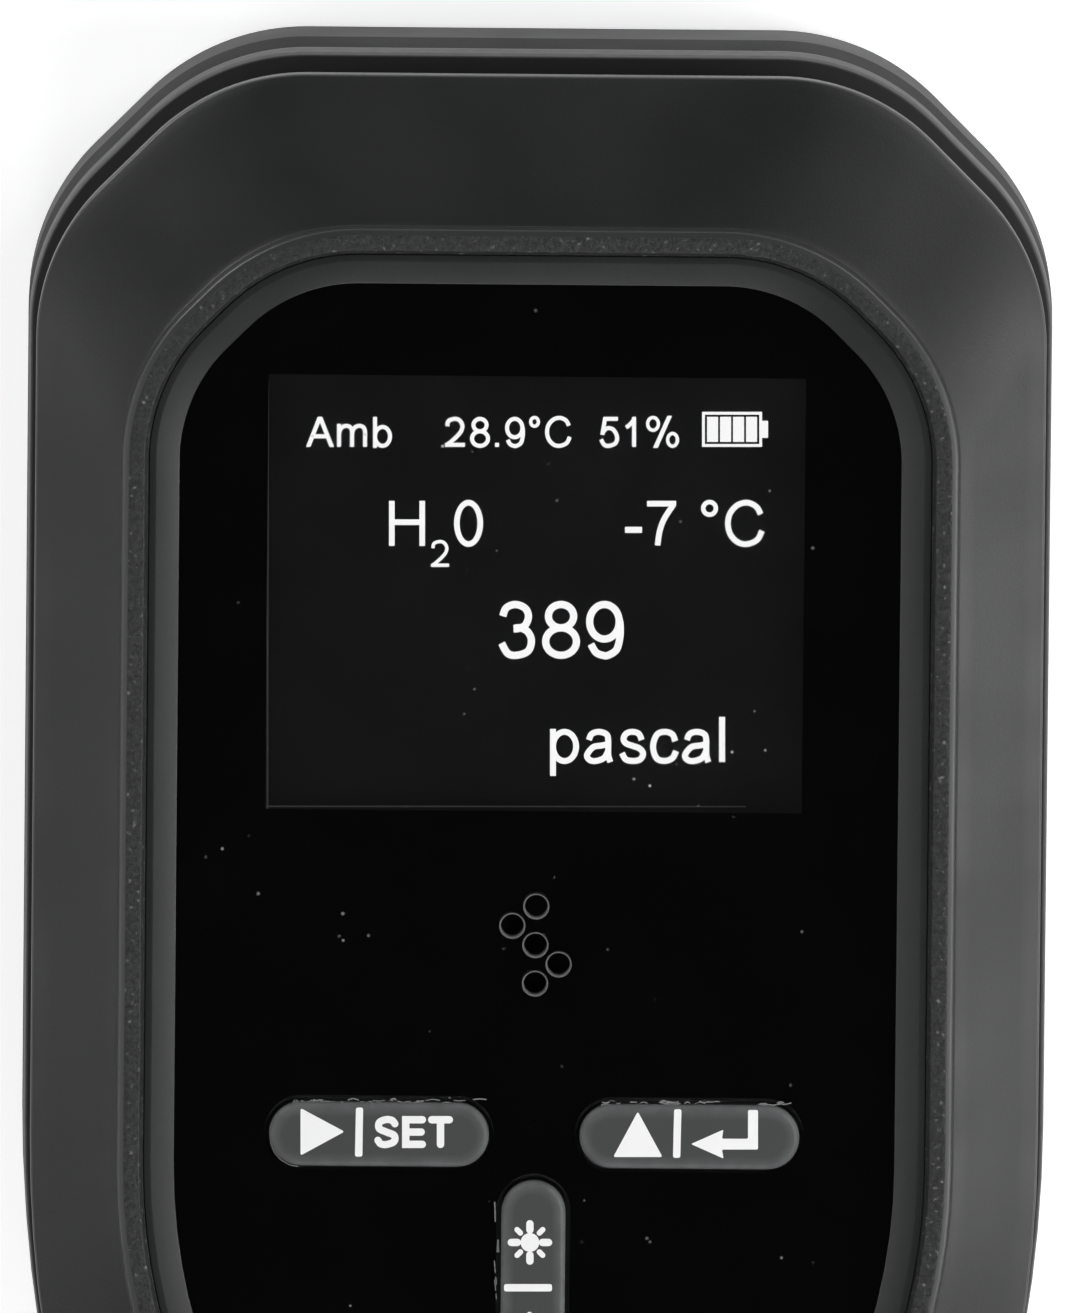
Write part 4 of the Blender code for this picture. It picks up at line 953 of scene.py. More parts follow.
def key_silicone(name, centre, turn):
    """Grey silicone: the light that enters its translucent rim is painted in as a paler border."""
    material, shader, place = new_material(name, {"Roughness": 0.5, "IOR": 1.41})
    tree = material.node_tree
    local = add_node(
        material, "ShaderNodeMapping",
        {"vector_type": "TEXTURE", "Location": (centre.x, centre.y, 0.0), "Rotation": (0.0, 0.0, turn)},
        {"Vector": place},
    )
    split = add_node(material, "ShaderNodeSeparateXYZ", links={"Vector": local.outputs["Vector"]})
    reach = (KEY_LENGTH - KEY_WIDTH) / 2
    along = add_node(material, "ShaderNodeMath", {"operation": "ABSOLUTE"})
    tree.links.new(split.outputs["X"], along.inputs[0])
    past = add_node(material, "ShaderNodeMath", {"operation": "SUBTRACT"})
    tree.links.new(along.outputs["Value"], past.inputs[0])
    past.inputs[1].default_value = reach
    only = add_node(material, "ShaderNodeMath", {"operation": "MAXIMUM"})
    tree.links.new(past.outputs["Value"], only.inputs[0])
    only.inputs[1].default_value = 0.0
    flat = add_node(
        material, "ShaderNodeCombineXYZ", links={"X": only.outputs["Value"], "Y": split.outputs["Y"]}
    )
    away = add_node(material, "ShaderNodeVectorMath", {"operation": "LENGTH"})
    tree.links.new(flat.outputs["Vector"], away.inputs[0])
    rim = add_node(
        material, "ShaderNodeMapRange",
        {"From Min": KEY_WIDTH / 2 - 0.9 * MM, "From Max": KEY_WIDTH / 2 - 0.1 * MM},
        {"Value": away.outputs["Value"]},
    )
    cloud = add_node(
        material, "ShaderNodeTexNoise", {"Scale": 1 / (1.4 * MM), "Detail": 3.0}, {"Vector": place}
    )
    blend = add_node(material, "ShaderNodeMath", {"operation": "MULTIPLY"})
    tree.links.new(rim.outputs["Result"], blend.inputs[0])
    tree.links.new(cloud.outputs["Fac"], blend.inputs[1])
    strong = add_node(material, "ShaderNodeMath", {"operation": "MULTIPLY", "use_clamp": True})
    tree.links.new(blend.outputs["Value"], strong.inputs[0])
    strong.inputs[1].default_value = 1.9
    # Painted light: the rim colour is paler where light would enter the translucent rim
    tint = add_node(material, "ShaderNodeMix", {"data_type": "RGBA"}, {"Factor": strong.outputs["Value"]})
    tint.inputs["A"].default_value = linear(KEY_HEX)
    tint.inputs["B"].default_value = linear(KEY_RIM_PAINTED_LIGHT_HEX)
    tree.links.new(tint.outputs["Result"], shader.inputs["Base Color"])
    grit = add_node(
        material, "ShaderNodeTexNoise", {"Scale": 1 / (0.12 * MM), "Detail": 2.0}, {"Vector": place}
    )
    lift = add_node(
        material, "ShaderNodeBump", {"Strength": 0.6, "Distance": 0.006 * MM}, {"Height": grit.outputs["Fac"]}
    )
    tree.links.new(lift.outputs["Normal"], shader.inputs["Normal"])
    return material


def screen_ink(name, hex_colour, gloss=0.5):
    """Screen printed silicone ink: flat, matt and opaque, with a faint mesh grain."""
    material, shader, place = new_material(name, {"Roughness": 0.55, "Specular IOR Level": gloss})
    grain = add_node(
        material, "ShaderNodeTexNoise", {"Scale": 1 / (0.15 * MM), "Detail": 1.0}, {"Vector": place}
    )
    tint = add_node(material, "ShaderNodeMix", {"data_type": "RGBA"}, {"Factor": grain.outputs["Fac"]})
    base = linear(hex_colour)
    tint.inputs["A"].default_value = tuple(c * 0.96 for c in base[:3]) + (1.0,)
    tint.inputs["B"].default_value = base
    material.node_tree.links.new(tint.outputs["Result"], shader.inputs["Base Color"])
    return material


def rounded(corners, reach):
    """A shape's corners, each blended by a curve that starts at a reach from it."""
    points = []
    count = len(corners)
    for i, corner in enumerate(corners):
        here = Vector(corner)
        before = here + (Vector(corners[i - 1]) - here).normalized() * reach
        after = here + (Vector(corners[(i + 1) % count]) - here).normalized() * reach
        for step in range(5):
            share = step / 4
            points.append(before.lerp(here, share).lerp(here.lerp(after, share), share))
    return points


def ring_point(centre, radius, degrees):
    angle = math.radians(degrees)
    return Vector((centre[0] + radius * math.cos(angle), centre[1] + radius * math.sin(angle)))


LETTERS = {
    "S": (
        ("curve", (0.97, 0.83), (0.8, 0.97), (0.45, 1), (0.1, 0.88), (0.1, 0.64), (0.5, 0.5),
         (0.93, 0.36), (0.92, 0.12), (0.5, 0), (0.18, 0.03), (0.02, 0.17)),
    ),
    "E": (("line", (1, 1), (0, 1), (0, 0), (1, 0)), ("line", (0, 0.5), (0.93, 0.5))),
    "T": (("line", (0, 1), (1, 1)), ("line", (0.5, 0.97), (0.5, 0))),
}
SUN = (529.9, 1242.4)
POWER = (529.5, 1334.0)


def key_prints(label, low):
    """White signs: forward and SET, up and enter, or a sun and a power sign with a bar between."""
    meshes = []

    def solid(corners, reach):
        meshes.append(flat_mesh(rounded(corners, reach), low, INK_THICK))

    def line(start, end, width):
        meshes.append(flat_mesh(pen_line([Vector(start), Vector(end)], width / 2, "round"), low, INK_THICK))

    if label == "set":
        solid(((300.5, 1108), (344.5, 1131.6), (300.5, 1155.5)), 2.6)
        solid(((355.9, 1107.5), (363.1, 1107.5), (362.4, 1156.6), (354.9, 1156.6)), 2.4)
        for letter, left, right, width in (("S", 374, 399, 7.1), ("E", 402, 426, 7.4), ("T", 428, 453, 7.4)):
            box = (left, 1116, right, 1148)
            meshes.extend(glyph_meshes(LETTERS[letter], box, width, low, INK_THICK, "round"))
    elif label == "enter":
        solid(((637.8, 1111.5), (662.5, 1157), (613.2, 1157)), 2.6)
        solid(((674.1, 1109.2), (681.5, 1109.2), (680.3, 1157.8), (672.9, 1157.8)), 2.4)
        solid((
            (748, 1110), (758, 1110), (758, 1149.5), (722, 1149.5), (723.5, 1158.5), (691.0, 1144),
            (723.5, 1129.5), (722, 1138.7), (748, 1138.7),
        ), 1.6)
    else:
        solid([ring_point(SUN, 9.4, 15 * k) for k in range(24)], 0.5)
        for k in range(8):
            inner, outer, width = (13.4, 18.1, 5.4) if k % 2 else (12.6, 18.6, 7.4)
            line(ring_point(SUN, inner, 45 * k), ring_point(SUN, outer, 45 * k), width)
        solid(((504, 1284), (552, 1284), (552, 1291.4), (504, 1291.4)), 2.4)
        ring = [ring_point(POWER, 16.0, -50 + 14 * k) for k in range(21)]
        meshes.append(flat_mesh(pen_line(ring, 3.2, "round"), low, INK_THICK))
        line((POWER[0], POWER[1] - 19.0), (POWER[0], POWER[1] - 2.0), 6.4)
    for number, mesh in enumerate(meshes):
        mesh.transform(Matrix.Translation((0.0, 0.0, number * PRINT_STEP)))
    return meshes


PRINT_INK = screen_ink("white_screen_ink", INK_HEX)
KEY_RUBBER_MAT = moulded_rubber("silicone_mat", MAT_HEX, 0.55, 0.6, 0.01)
CARBON_PILL = moulded_rubber("carbon_loaded_silicone", CARBON_HEX, 0.7, 0.2, 0.01)


def key(label):
    low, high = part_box(f"key_{label}")
    middle = (low + high) / 2
    upright = high.y - low.y > high.x - low.x
    turn = math.radians(90) if upright else 0.0
    profile = fillet((
        (0.0, LENS_LOW.z - 0.5 * MM, 0.0),
        (0.0, KEY_TOP_Z, KEY_ROUND),
        (1.0 * MM, KEY_TOP_Z + 0.02 * MM, 0.0),
    ), 6)
    flange_top = LENS_LOW.z - CLEARANCE
    flange_low = flange_top - FLANGE_THICK
    rings = [
        (stadium(STEM_LENGTH, STEM_WIDTH), low.z),
        (stadium(STEM_LENGTH, STEM_WIDTH), flange_low),
        (stadium(KEY_LENGTH + 2 * FLANGE, KEY_WIDTH + 2 * FLANGE), flange_low),
        (stadium(KEY_LENGTH + 2 * FLANGE, KEY_WIDTH + 2 * FLANGE), flange_top),
        (stadium(KEY_LENGTH, KEY_WIDTH), flange_top),
    ]
    rings += [(stadium(KEY_LENGTH - 2 * inset, KEY_WIDTH - 2 * inset), z) for inset, z in profile[1:]]
    mesh = loft_mesh(f"key_{label}_cap", rings)
    mesh.transform(Matrix.Translation((middle.x, middle.y, 0.0)) @ Matrix.Rotation(turn, 4, "Z"))
    body = f"{label}_key"
    piece = new_piece(f"key_{label}_cap", mesh, body)
    piece.data.materials.append(key_silicone(f"grey_silicone_{label}", middle, turn))
    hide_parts(f"key_{label}")
    prints = merged(f"key_{label}_print", key_prints(label, KEY_TOP_Z + 0.01 * MM))
    ink = new_piece(f"key_{label}_print", prints, body)
    ink.data.materials.append(PRINT_INK)
    dress(f"key_contact_{label}", CARBON_PILL)


for label in ("set", "enter", "light"):
    key(label)
dress("keypad_mat", KEY_RUBBER_MAT)


# Front shell. One ABS moulding: an undercut skirt, a rolled edge, a wide sloping face and a raised
# crest round the lens. The slope is finely spark eroded, and the crest has a coarse grain, painted
# darker in its pits as painted shade and with pale specks painted as glints. The rolled edge and the
# crest's outer corner are smoother, and paler in colour as painted highlight lines.
CREST = Shape(
    27.35 * MM, rear_high.y - 10.15 * MM, rear_low.y + 10.1 * MM, 9.6 * MM, 14.0 * MM,
    rear_low.y + 41.0 * MM, 42.0 * MM, 21.88 * MM,
)
CREST_Z = 26.6 * MM
CREST_INNER = 1.76 * MM
SKIRT_Z = 15.5 * MM
SKIRT_INSET = 1.7 * MM
SLOPE_STEPS = 7
LEDGE_TOP_Z = 22.8 * MM
LEDGE_Z = 21.2 * MM
LEDGE_INSET = 5.4 * MM
WALL_INSET = 3.6 * MM
COARSE_DEPTH = 0.98 * MM
CREST_HEX = "303131"
PIT_SHADE_HEX = "161717"
SPECK_GLINT_HEX = "8a8a8a"
CREST_GRAIN_MM = 0.34

# Rings of faces that are smoother and painted paler as painted highlight lines: round the crest's
# outer corner, counted from the crest's first ring, and along the top of the rolled edge, counted
# from the skirt's first ring
EDGE_START = 6
EDGE_RINGS = 7
LIP_START = 13
LIP_RINGS = 5


def coarse_grain_abs(name):
    """Coarse spark eroded ABS: mottled, painted darker in its pits as painted shade, with sparse pale specks
    on the raised grain painted as glints.
    """
    material, shader, place = new_material(name, {"IOR": 1.54, "Roughness": 0.46, "Specular IOR Level": 0.38})
    tree = material.node_tree
    coarse = add_node(
        material, "ShaderNodeTexNoise",
        {"Scale": 1 / (CREST_GRAIN_MM * MM), "Detail": 4.0, "Roughness": 0.7}, {"Vector": place},
    )
    # Painted glints: sparse pale specks where the bump grain is high
    speck = add_node(material, "ShaderNodeTexVoronoi", {"Scale": 1 / (0.55 * MM)}, {"Vector": place})
    dots = add_node(
        material, "ShaderNodeMapRange",
        {"From Min": 0.0, "From Max": 0.32, "To Min": 1.0, "To Max": 0.0},
        {"Value": speck.outputs["Distance"]},
    )
    sparse = add_node(
        material, "ShaderNodeMapRange", {"From Min": 0.5, "From Max": 0.64}, {"Value": coarse.outputs["Fac"]}
    )
    fleck = add_node(material, "ShaderNodeMath", {"operation": "MULTIPLY"})
    tree.links.new(dots.outputs["Result"], fleck.inputs[0])
    tree.links.new(sparse.outputs["Result"], fleck.inputs[1])
    # Painted shade: the colour is darker where the bump grain is low, in its pits
    mottle = add_node(
        material, "ShaderNodeMapRange", {"From Min": 0.35, "From Max": 0.65}, {"Value": coarse.outputs["Fac"]}
    )
    ground = add_node(material, "ShaderNodeMix", {"data_type": "RGBA"}, {"Factor": mottle.outputs["Result"]})
    ground.inputs["A"].default_value = linear(PIT_SHADE_HEX)
    ground.inputs["B"].default_value = linear(CREST_HEX)
    tint = add_node(material, "ShaderNodeMix", {"data_type": "RGBA"}, {"Factor": fleck.outputs["Value"]})
    tree.links.new(ground.outputs["Result"], tint.inputs["A"])
    tint.inputs["B"].default_value = linear(SPECK_GLINT_HEX)
    tree.links.new(tint.outputs["Result"], shader.inputs["Base Color"])
    lift = add_node(
        material, "ShaderNodeBump", {"Strength": 1.0, "Distance": 0.11 * MM},
        {"Height": coarse.outputs["Fac"]},
    )
    tree.links.new(lift.outputs["Normal"], shader.inputs["Normal"])
    return material


COARSE_ABS = coarse_grain_abs("coarse_spark_eroded_abs")
# Painted highlight: a smoother ABS in the paler crest colour, so bright lines are painted along the rolled
# edge and the crest's outer corner
PAINTED_HIGHLIGHT_ABS = spark_eroded_abs("painted_highlight_edge_abs", CREST_HEX, GRAIN_MM, 0.004, 0.36, 0.5)


def front_shell():
    skirt = fillet((
        (SKIRT_INSET, SKIRT_Z, 0.0),
        (SKIRT_INSET, EDGE_Z - 1.7 * MM, 0.35 * MM),
        (LIP, EDGE_Z - 0.95 * MM, 0.12 * MM),
        (LIP, EDGE_Z + 0.12 * MM, 0.24 * MM),
        (LIP + 0.7 * MM, EDGE_Z + 0.45 * MM, 0.0),
    ))
    crest = fillet((
        (-0.5 * MM, CREST_Z - 1.12 * MM, 0.0),
        (-0.06 * MM, CREST_Z - 0.92 * MM, 0.25 * MM),
        (0.06 * MM, CREST_Z - 0.12 * MM, 0.2 * MM),
        (0.55 * MM, CREST_Z, 0.8 * MM),
        (1.46 * MM, CREST_Z - 0.05 * MM, 0.12 * MM),
        (1.66 * MM, CREST_Z - 0.62 * MM, 0.06 * MM),
        (CREST_INNER, CREST_Z - 0.66 * MM, 0.02 * MM),
        (CREST_INNER, LEDGE_TOP_Z, 0.0),
    ))
    rings = [(outline(BODY, inset), z) for inset, z in skirt]
    start, start_z = rings[-1]
    finish = outline(CREST, crest[0][0])
    finish_z = crest[0][1]
    for i in range(1, SLOPE_STEPS):
        share = i / SLOPE_STEPS
        points = [(a[0] + (b[0] - a[0]) * share, a[1] + (b[1] - a[1]) * share) for a, b in zip(start, finish)]
        rings.append((points, start_z + (finish_z - start_z) * share))
    edge_ring = len(rings) + EDGE_START
    rings += [(outline(CREST, inset), z) for inset, z in crest]
    for shape, inset, z in (
        (CREST, LEDGE_INSET, LEDGE_TOP_Z), (CREST, LEDGE_INSET, LEDGE_Z), (CREST, 1.0 * MM, LEDGE_Z),
        (CREST, -0.3 * MM, 22.3 * MM), (BODY, WALL_INSET, 20.0 * MM), (BODY, WALL_INSET, SKIRT_Z),
    ):
        rings.append((outline(shape, inset), z))
    mesh = loft_mesh("front_shell_skin", rings, True)
    mesh.materials.append(HOUSING_ABS)
    mesh.materials.append(COARSE_ABS)
    mesh.materials.append(PAINTED_HIGHLIGHT_ABS)
    around = len(start)
    for face in mesh.polygons:
        ring = face.index // around
        if edge_ring <= ring < edge_ring + EDGE_RINGS or LIP_START <= ring < LIP_START + LIP_RINGS:
            face.material_index = 2
        elif ring >= edge_ring and face.center.z > CREST_Z - COARSE_DEPTH:
            face.material_index = 1
    mesh = carve(mesh, screw_columns(BOSS_RADIUS, SKIRT_Z, LEDGE_TOP_Z - 0.28 * MM), "UNION")
    screw_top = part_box("case_screw_low_left")[1].z
    mesh = carve(mesh, [port_hole()] + screw_columns(PILOT_RADIUS, SKIRT_Z - MM, screw_top + CLEARANCE))
    piece = new_piece("front_shell_skin", mesh)
    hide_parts("front_shell")


front_shell()


# Lens. A flat acrylic panel on an adhesive gasket, with three key openings and five drilled sound
# holes. Black ink on its back leaves the display window clear, and its cut edges are black. It has
# light dust and faint wipes, and lint has settled along the key openings. A pale arc round the lower
# left end of the SET key's opening is a painted glint, for light refracted in the opening's wall.
LENS_INSET = 2.9 * MM
HOLE_RADIUS = 0.75 * MM
HOLE_RIM = 0.86 * MM
HOLE_PIXELS = ((536.3, 906.6), (512.3, 925.9), (535.4, 945.2), (558.6, 964.6), (535.0, 983.7))
INK_LAYER = 0.05 * MM
ACRYLIC_HEX = "f0f0f0"
BACK_INK_HEX = "060606"
CUT_EDGE_HEX = "101011"
DRILLED_HEX = "6a6a6c"
LINT_AND_GLINT_HEX = "8c8c8c"
LINT_SEED = 7
LINT_COUNT = 24
# Painted glint: a pale arc round the SET key's lower left end, for light refracted in the opening's polished
# wall
PAINTED_GLINT_ARC = ((270.5, 1143), (274, 1152), (281, 1160), (290, 1165), (298, 1166.5))
LINT_EDGES = ((286, 478, 1101.5), (597, 786, 1103.5))


def clear_acrylic(name):
    """Polished acrylic: clear and glossy, with sparse dust specks and soft wipe marks."""
    material, shader, place = new_material(name, {"Roughness": 0.03, "IOR": 1.49})
    tree = material.node_tree
    speck = add_node(
        material, "ShaderNodeTexVoronoi", {"Scale": 1 / (1.9 * MM)}, {"Vector": place}
    )
    dust = add_node(
        material, "ShaderNodeMapRange",
        {"From Min": 0.035, "From Max": 0.075, "To Min": 1.0, "To Max": 0.0},
        {"Value": speck.outputs["Distance"]},
    )
    patch = add_node(
        material, "ShaderNodeTexNoise", {"Scale": 1 / (8.0 * MM), "Detail": 3.0}, {"Vector": place}
    )
    sparse = add_node(
        material, "ShaderNodeMapRange",
        {"From Min": 0.52, "From Max": 0.68, "To Min": 0.0, "To Max": 0.45}, {"Value": patch.outputs["Fac"]},
    )
    fleck = add_node(material, "ShaderNodeMath", {"operation": "MULTIPLY"})
    tree.links.new(dust.outputs["Result"], fleck.inputs[0])
    tree.links.new(sparse.outputs["Result"], fleck.inputs[1])
    clear = add_node(material, "ShaderNodeMath", {"operation": "SUBTRACT"})
    clear.inputs[0].default_value = 1.0
    tree.links.new(fleck.outputs["Value"], clear.inputs[1])
    tree.links.new(clear.outputs["Value"], shader.inputs["Transmission Weight"])
    shader.inputs["Base Color"].default_value = linear(ACRYLIC_HEX)
    wipe = add_node(
        material, "ShaderNodeMapRange",
        {"From Min": 0.4, "From Max": 0.75, "To Min": 0.02, "To Max": 0.1}, {"Value": patch.outputs["Fac"]},
    )
    tree.links.new(wipe.outputs["Result"], shader.inputs["Roughness"])
    return material


def flat_sheet_mesh(name, outer, holes, low, high):
    """A flat plate from one outline and the holes in it."""
    curve = bpy.data.curves.new(name, "CURVE")
    curve.dimensions = "2D"
    curve.fill_mode = "BOTH"
    curve.extrude = (high - low) / 2
    for loop in [outer] + holes:
        spline = curve.splines.new("POLY")
        spline.points.add(len(loop) - 1)
        spline.use_cyclic_u = True
        for point, (x, y) in zip(spline.points, loop):
            point.co = (x, y, 0.0, 1.0)
    holder = bpy.data.objects.new(name, curve)
    bpy.context.scene.collection.objects.link(holder)
    graph = bpy.context.evaluated_depsgraph_get()
    graph.update()
    mesh = bpy.data.meshes.new_from_object(holder.evaluated_get(graph))
    bpy.data.objects.remove(holder)
    mesh.transform(Matrix.Translation((0.0, 0.0, (low + high) / 2)))
    bm = bmesh.new()
    bm.from_mesh(mesh)
    bmesh.ops.remove_doubles(bm, verts=bm.verts, dist=0.000001)
    bmesh.ops.recalc_face_normals(bm, faces=bm.faces)
    bm.to_mesh(mesh)
    bm.free()
    mesh.name = name
    return mesh


def lens_holes(extra):
    """The key openings and the sound holes, each widened by a margin."""
    holes = []
    for label in ("set", "enter", "light"):
        low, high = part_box(f"key_{label}")
        middle = (low + high) / 2
        turn = math.radians(90) if high.y - low.y > high.x - low.x else 0.0
        opening = stadium(KEY_LENGTH + 2 * CLEARANCE + 2 * extra, KEY_WIDTH + 2 * CLEARANCE + 2 * extra)
        holes.append(moved(opening, middle.x, middle.y, turn))
    for column, row in HOLE_PIXELS:
        middle = at_pixel(column, row, LENS_HIGH.z)
        holes.append(moved(circle(HOLE_RIM - 0.001 * MM + extra, 36), middle.x, middle.y))
    return holes


def hole_rims():
    """Chamfered rims of the drilled holes, frosted by the drill."""
    meshes = []
    for column, row in HOLE_PIXELS:
        middle = at_pixel(column, row, LENS_HIGH.z)
        rings = []
        for radius, z in (
            (HOLE_RIM - 0.004 * MM, LENS_LOW.z), (HOLE_RIM - 0.004 * MM, LENS_HIGH.z),
            (HOLE_RIM - 0.05 * MM, LENS_HIGH.z), (HOLE_RADIUS, LENS_HIGH.z - 0.12 * MM),
            (HOLE_RADIUS, LENS_LOW.z),
        ):
            rings.append((moved(circle(radius, 36), middle.x, middle.y), z))
        meshes.append(loft_mesh("rim", rings, True))
    return merged("sound_hole_rims", meshes)


CLEAR_ACRYLIC = clear_acrylic("polished_acrylic")
BACK_INK = screen_ink("black_screen_ink", BACK_INK_HEX, 0.0)
FROSTED = moulded_rubber("drilled_acrylic", DRILLED_HEX, 0.5, 0.25, 0.05)
CUT_EDGE = moulded_rubber("blackened_acrylic_edge", CUT_EDGE_HEX, 0.5, 0.2, 0.004)

sheet = flat_sheet_mesh(
    "lens_sheet", outline(CREST, LENS_INSET), lens_holes(0.0), LENS_LOW.z, LENS_HIGH.z
)
lens = new_piece("lens_sheet", sheet)
lens.data.materials.append(CLEAR_ACRYLIC)
lens.data.materials.append(CUT_EDGE)
for face in lens.data.polygons:
    face.material_index = 1 if abs(face.normal.z) < 0.5 else 0
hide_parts("lens_panel")

ink_top = LENS_LOW.z - 0.02 * MM
foot_left = at_pixel(WINDOW[0], WINDOW[3], ink_top)
top_right = at_pixel(WINDOW[2], WINDOW[1], ink_top)
window = [
    (foot_left.x, foot_left.y), (top_right.x, foot_left.y),
    (top_right.x, top_right.y), (foot_left.x, top_right.y),
]
layer = flat_sheet_mesh(
    "lens_back_ink", outline(CREST, LENS_INSET + 0.05 * MM), lens_holes(0.02 * MM) + [window],
    ink_top - INK_LAYER, ink_top,
)
ink = new_piece("lens_back_ink", layer)
ink.data.materials.append(BACK_INK)
rims = new_piece("sound_hole_rims", hole_rims())
rims.data.materials.append(FROSTED)
dress("lens_tape", KEY_RUBBER_MAT)


def lint_and_painted_glint(low):
    """Fine fibres and dust caught along the top edges of the openings and beside the upright one,
    and a painted glint: a pale arc round the lower left end of the SET key's opening.
    """
    pick = random.Random(LINT_SEED)
    # The first path is the painted glint arc; the rest are fibres and dust
    paths = [PAINTED_GLINT_ARC]
    for left, right, row in LINT_EDGES:
        for _ in range(LINT_COUNT):
            column = pick.uniform(left, right)
            height = row + pick.uniform(-2.2, 1.6)
            run = pick.uniform(2.0, 7.0)
            rise = pick.uniform(-1.6, 1.6)
            paths.append([(column, height), (column + run, height + rise), (column + 2 * run, height)])
    for _ in range(LINT_COUNT // 3):
        column = 497 + pick.uniform(-3.0, 2.0)
        height = pick.uniform(1185, 1300)
        paths.append([(column, height), (column + pick.uniform(-1.0, 1.0), height + pick.uniform(3.0, 14.0))])
    meshes = []
    for number, path in enumerate(paths):
        half = pick.uniform(0.25, 0.75)
        shape = pen_line([Vector(point) for point in path], half, "round")
        meshes.append(flat_mesh(shape, low + number * PRINT_STEP / 10, PRINT_STEP))
    return merged("lint_and_painted_glint", meshes)


lint_and_glint = new_piece("lint_and_painted_glint", lint_and_painted_glint(LENS_HIGH.z + 0.005 * MM))
lint_and_glint.data.materials.append(moulded_rubber("dust_fibres_and_painted_glint", LINT_AND_GLINT_HEX, 0.9, 0.1, 0.002))


# Lens frame. A smooth ABS bezel bonded round the lens. Its bevel falls to the lens and ends in a
# thin lip that laps over the lens's edge.
FRAME_OUTER = 1.785 * MM
FRAME_INNER = 3.75 * MM
FRAME_HEX = "272828"

SMOOTH_ABS = spark_eroded_abs("smooth_moulded_abs", FRAME_HEX, 0.3, 0.0015, 0.36, 0.38)


def lens_frame():
    lip_z = LENS_HIGH.z + CLEARANCE
    base_z = LEDGE_TOP_Z + CLEARANCE
    profile = fillet((
        (FRAME_OUTER, base_z, 0.0),
        (FRAME_OUTER, lip_z + 0.74 * MM, 0.05 * MM),
        (FRAME_OUTER + 0.42 * MM, lip_z + 0.74 * MM, 0.5 * MM),
        (FRAME_INNER, lip_z + 0.3 * MM, 0.08 * MM),
        (FRAME_INNER, lip_z, 0.0),
        (FRAME_OUTER + 0.8 * MM, lip_z, 0.0),
        (FRAME_OUTER + 0.8 * MM, base_z, 0.0),
    ))
    mesh = loft_mesh("lens_frame_bezel", [(outline(CREST, inset), z) for inset, z in profile], True)
    piece = new_piece("lens_frame_bezel", mesh)
    piece.data.materials.append(SMOOTH_ABS)
    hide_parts("lens_frame")


lens_frame()


# Vacuum port. Turned brass: a body and a hexagonal swivel nut, threaded inside, with a copper flare
# washer, a steel snap ring and a pin that opens a valve core. The vacuum sensor's steel can sits on
# its inner end.
BRASS_HEX = "c9a45c"
COPPER_HEX = "b87350"
PORT_BORE = 1.6 * MM
CONE_TIP = 3.2 * MM
HEAD_RADIUS = 5.0 * MM
HEAD_START = 8.0 * MM
HEAD_END = 10.5 * MM
SHANK_RADIUS = 4.2 * MM
COLLAR_RADIUS = 8.0 * MM
COLLAR_END = 2.3 * MM
NECK_RADIUS = 6.0 * MM
FLANGE_RADIUS = 7.2 * MM
FLANGE_END = -3.9 * MM
NUT_FLATS = 15.9 * MM
NUT_BORE = 5.6 * MM
NUT_LIP_BORE = 4.5 * MM
NUT_LIP_END = 7.1 * MM
NUT_CHAMFER = 1.2 * MM
NUT_CHAMFER_RISE = 0.66 * MM
NUT_CORNER = 0.3 * MM

# Thread: 20 to the inch. Its foot and crest are half widths in shares of the pitch, and it is drawn
# with a number of steps a turn and fades out over a number of them.
THREAD_PITCH = 25.4 * MM / 20
THREAD_DEPTH = 0.55 * MM
THREAD_START = 11.0 * MM
THREAD_FOOT = 0.46
THREAD_CREST = 0.07
THREAD_STEPS = 60
THREAD_FADE = 20


def turned_brass(name, hex_colour, roughness):
    """Turned brass: warm and bright, with fine rings from the tool round its axis."""
    material, shader, place = new_material(name, {"Metallic": 1.0, "Base Color": linear(hex_colour)})
    squeeze = add_node(material, "ShaderNodeMapping", {"Scale": (0.02, 1.0, 0.02)}, {"Vector": place})
    rings = add_node(
        material, "ShaderNodeTexNoise", {"Scale": 1 / (0.14 * MM), "Detail": 3.0},
        {"Vector": squeeze.outputs["Vector"]},
    )
    spread = add_node(
        material, "ShaderNodeMapRange",
        {"To Min": roughness - 0.04, "To Max": roughness + 0.06}, {"Value": rings.outputs["Fac"]},
    )
    lift = add_node(
        material, "ShaderNodeBump", {"Strength": 0.5, "Distance": 0.004 * MM},
        {"Height": rings.outputs["Fac"]},
    )
    material.node_tree.links.new(spread.outputs["Result"], shader.inputs["Roughness"])
    material.node_tree.links.new(lift.outputs["Normal"], shader.inputs["Normal"])
    return material


BRASS = turned_brass("turned_brass", BRASS_HEX, 0.26)
COPPER = turned_brass("pressed_copper", COPPER_HEX, 0.32)


def along_port(node):
    """Where a node on the port starts and ends, measured outwards from the housing's end."""
    low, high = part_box(node)
    return BODY.end - high.y, BODY.end - low.y


def turned_mesh(name, profile):
    """A ring turned round the port's axis from (radius, reach, rounding) corners."""
    rings = [(circle(radius, 96), reach) for radius, reach in fillet(profile)]
    return on_port(loft_mesh(name, rings, True))


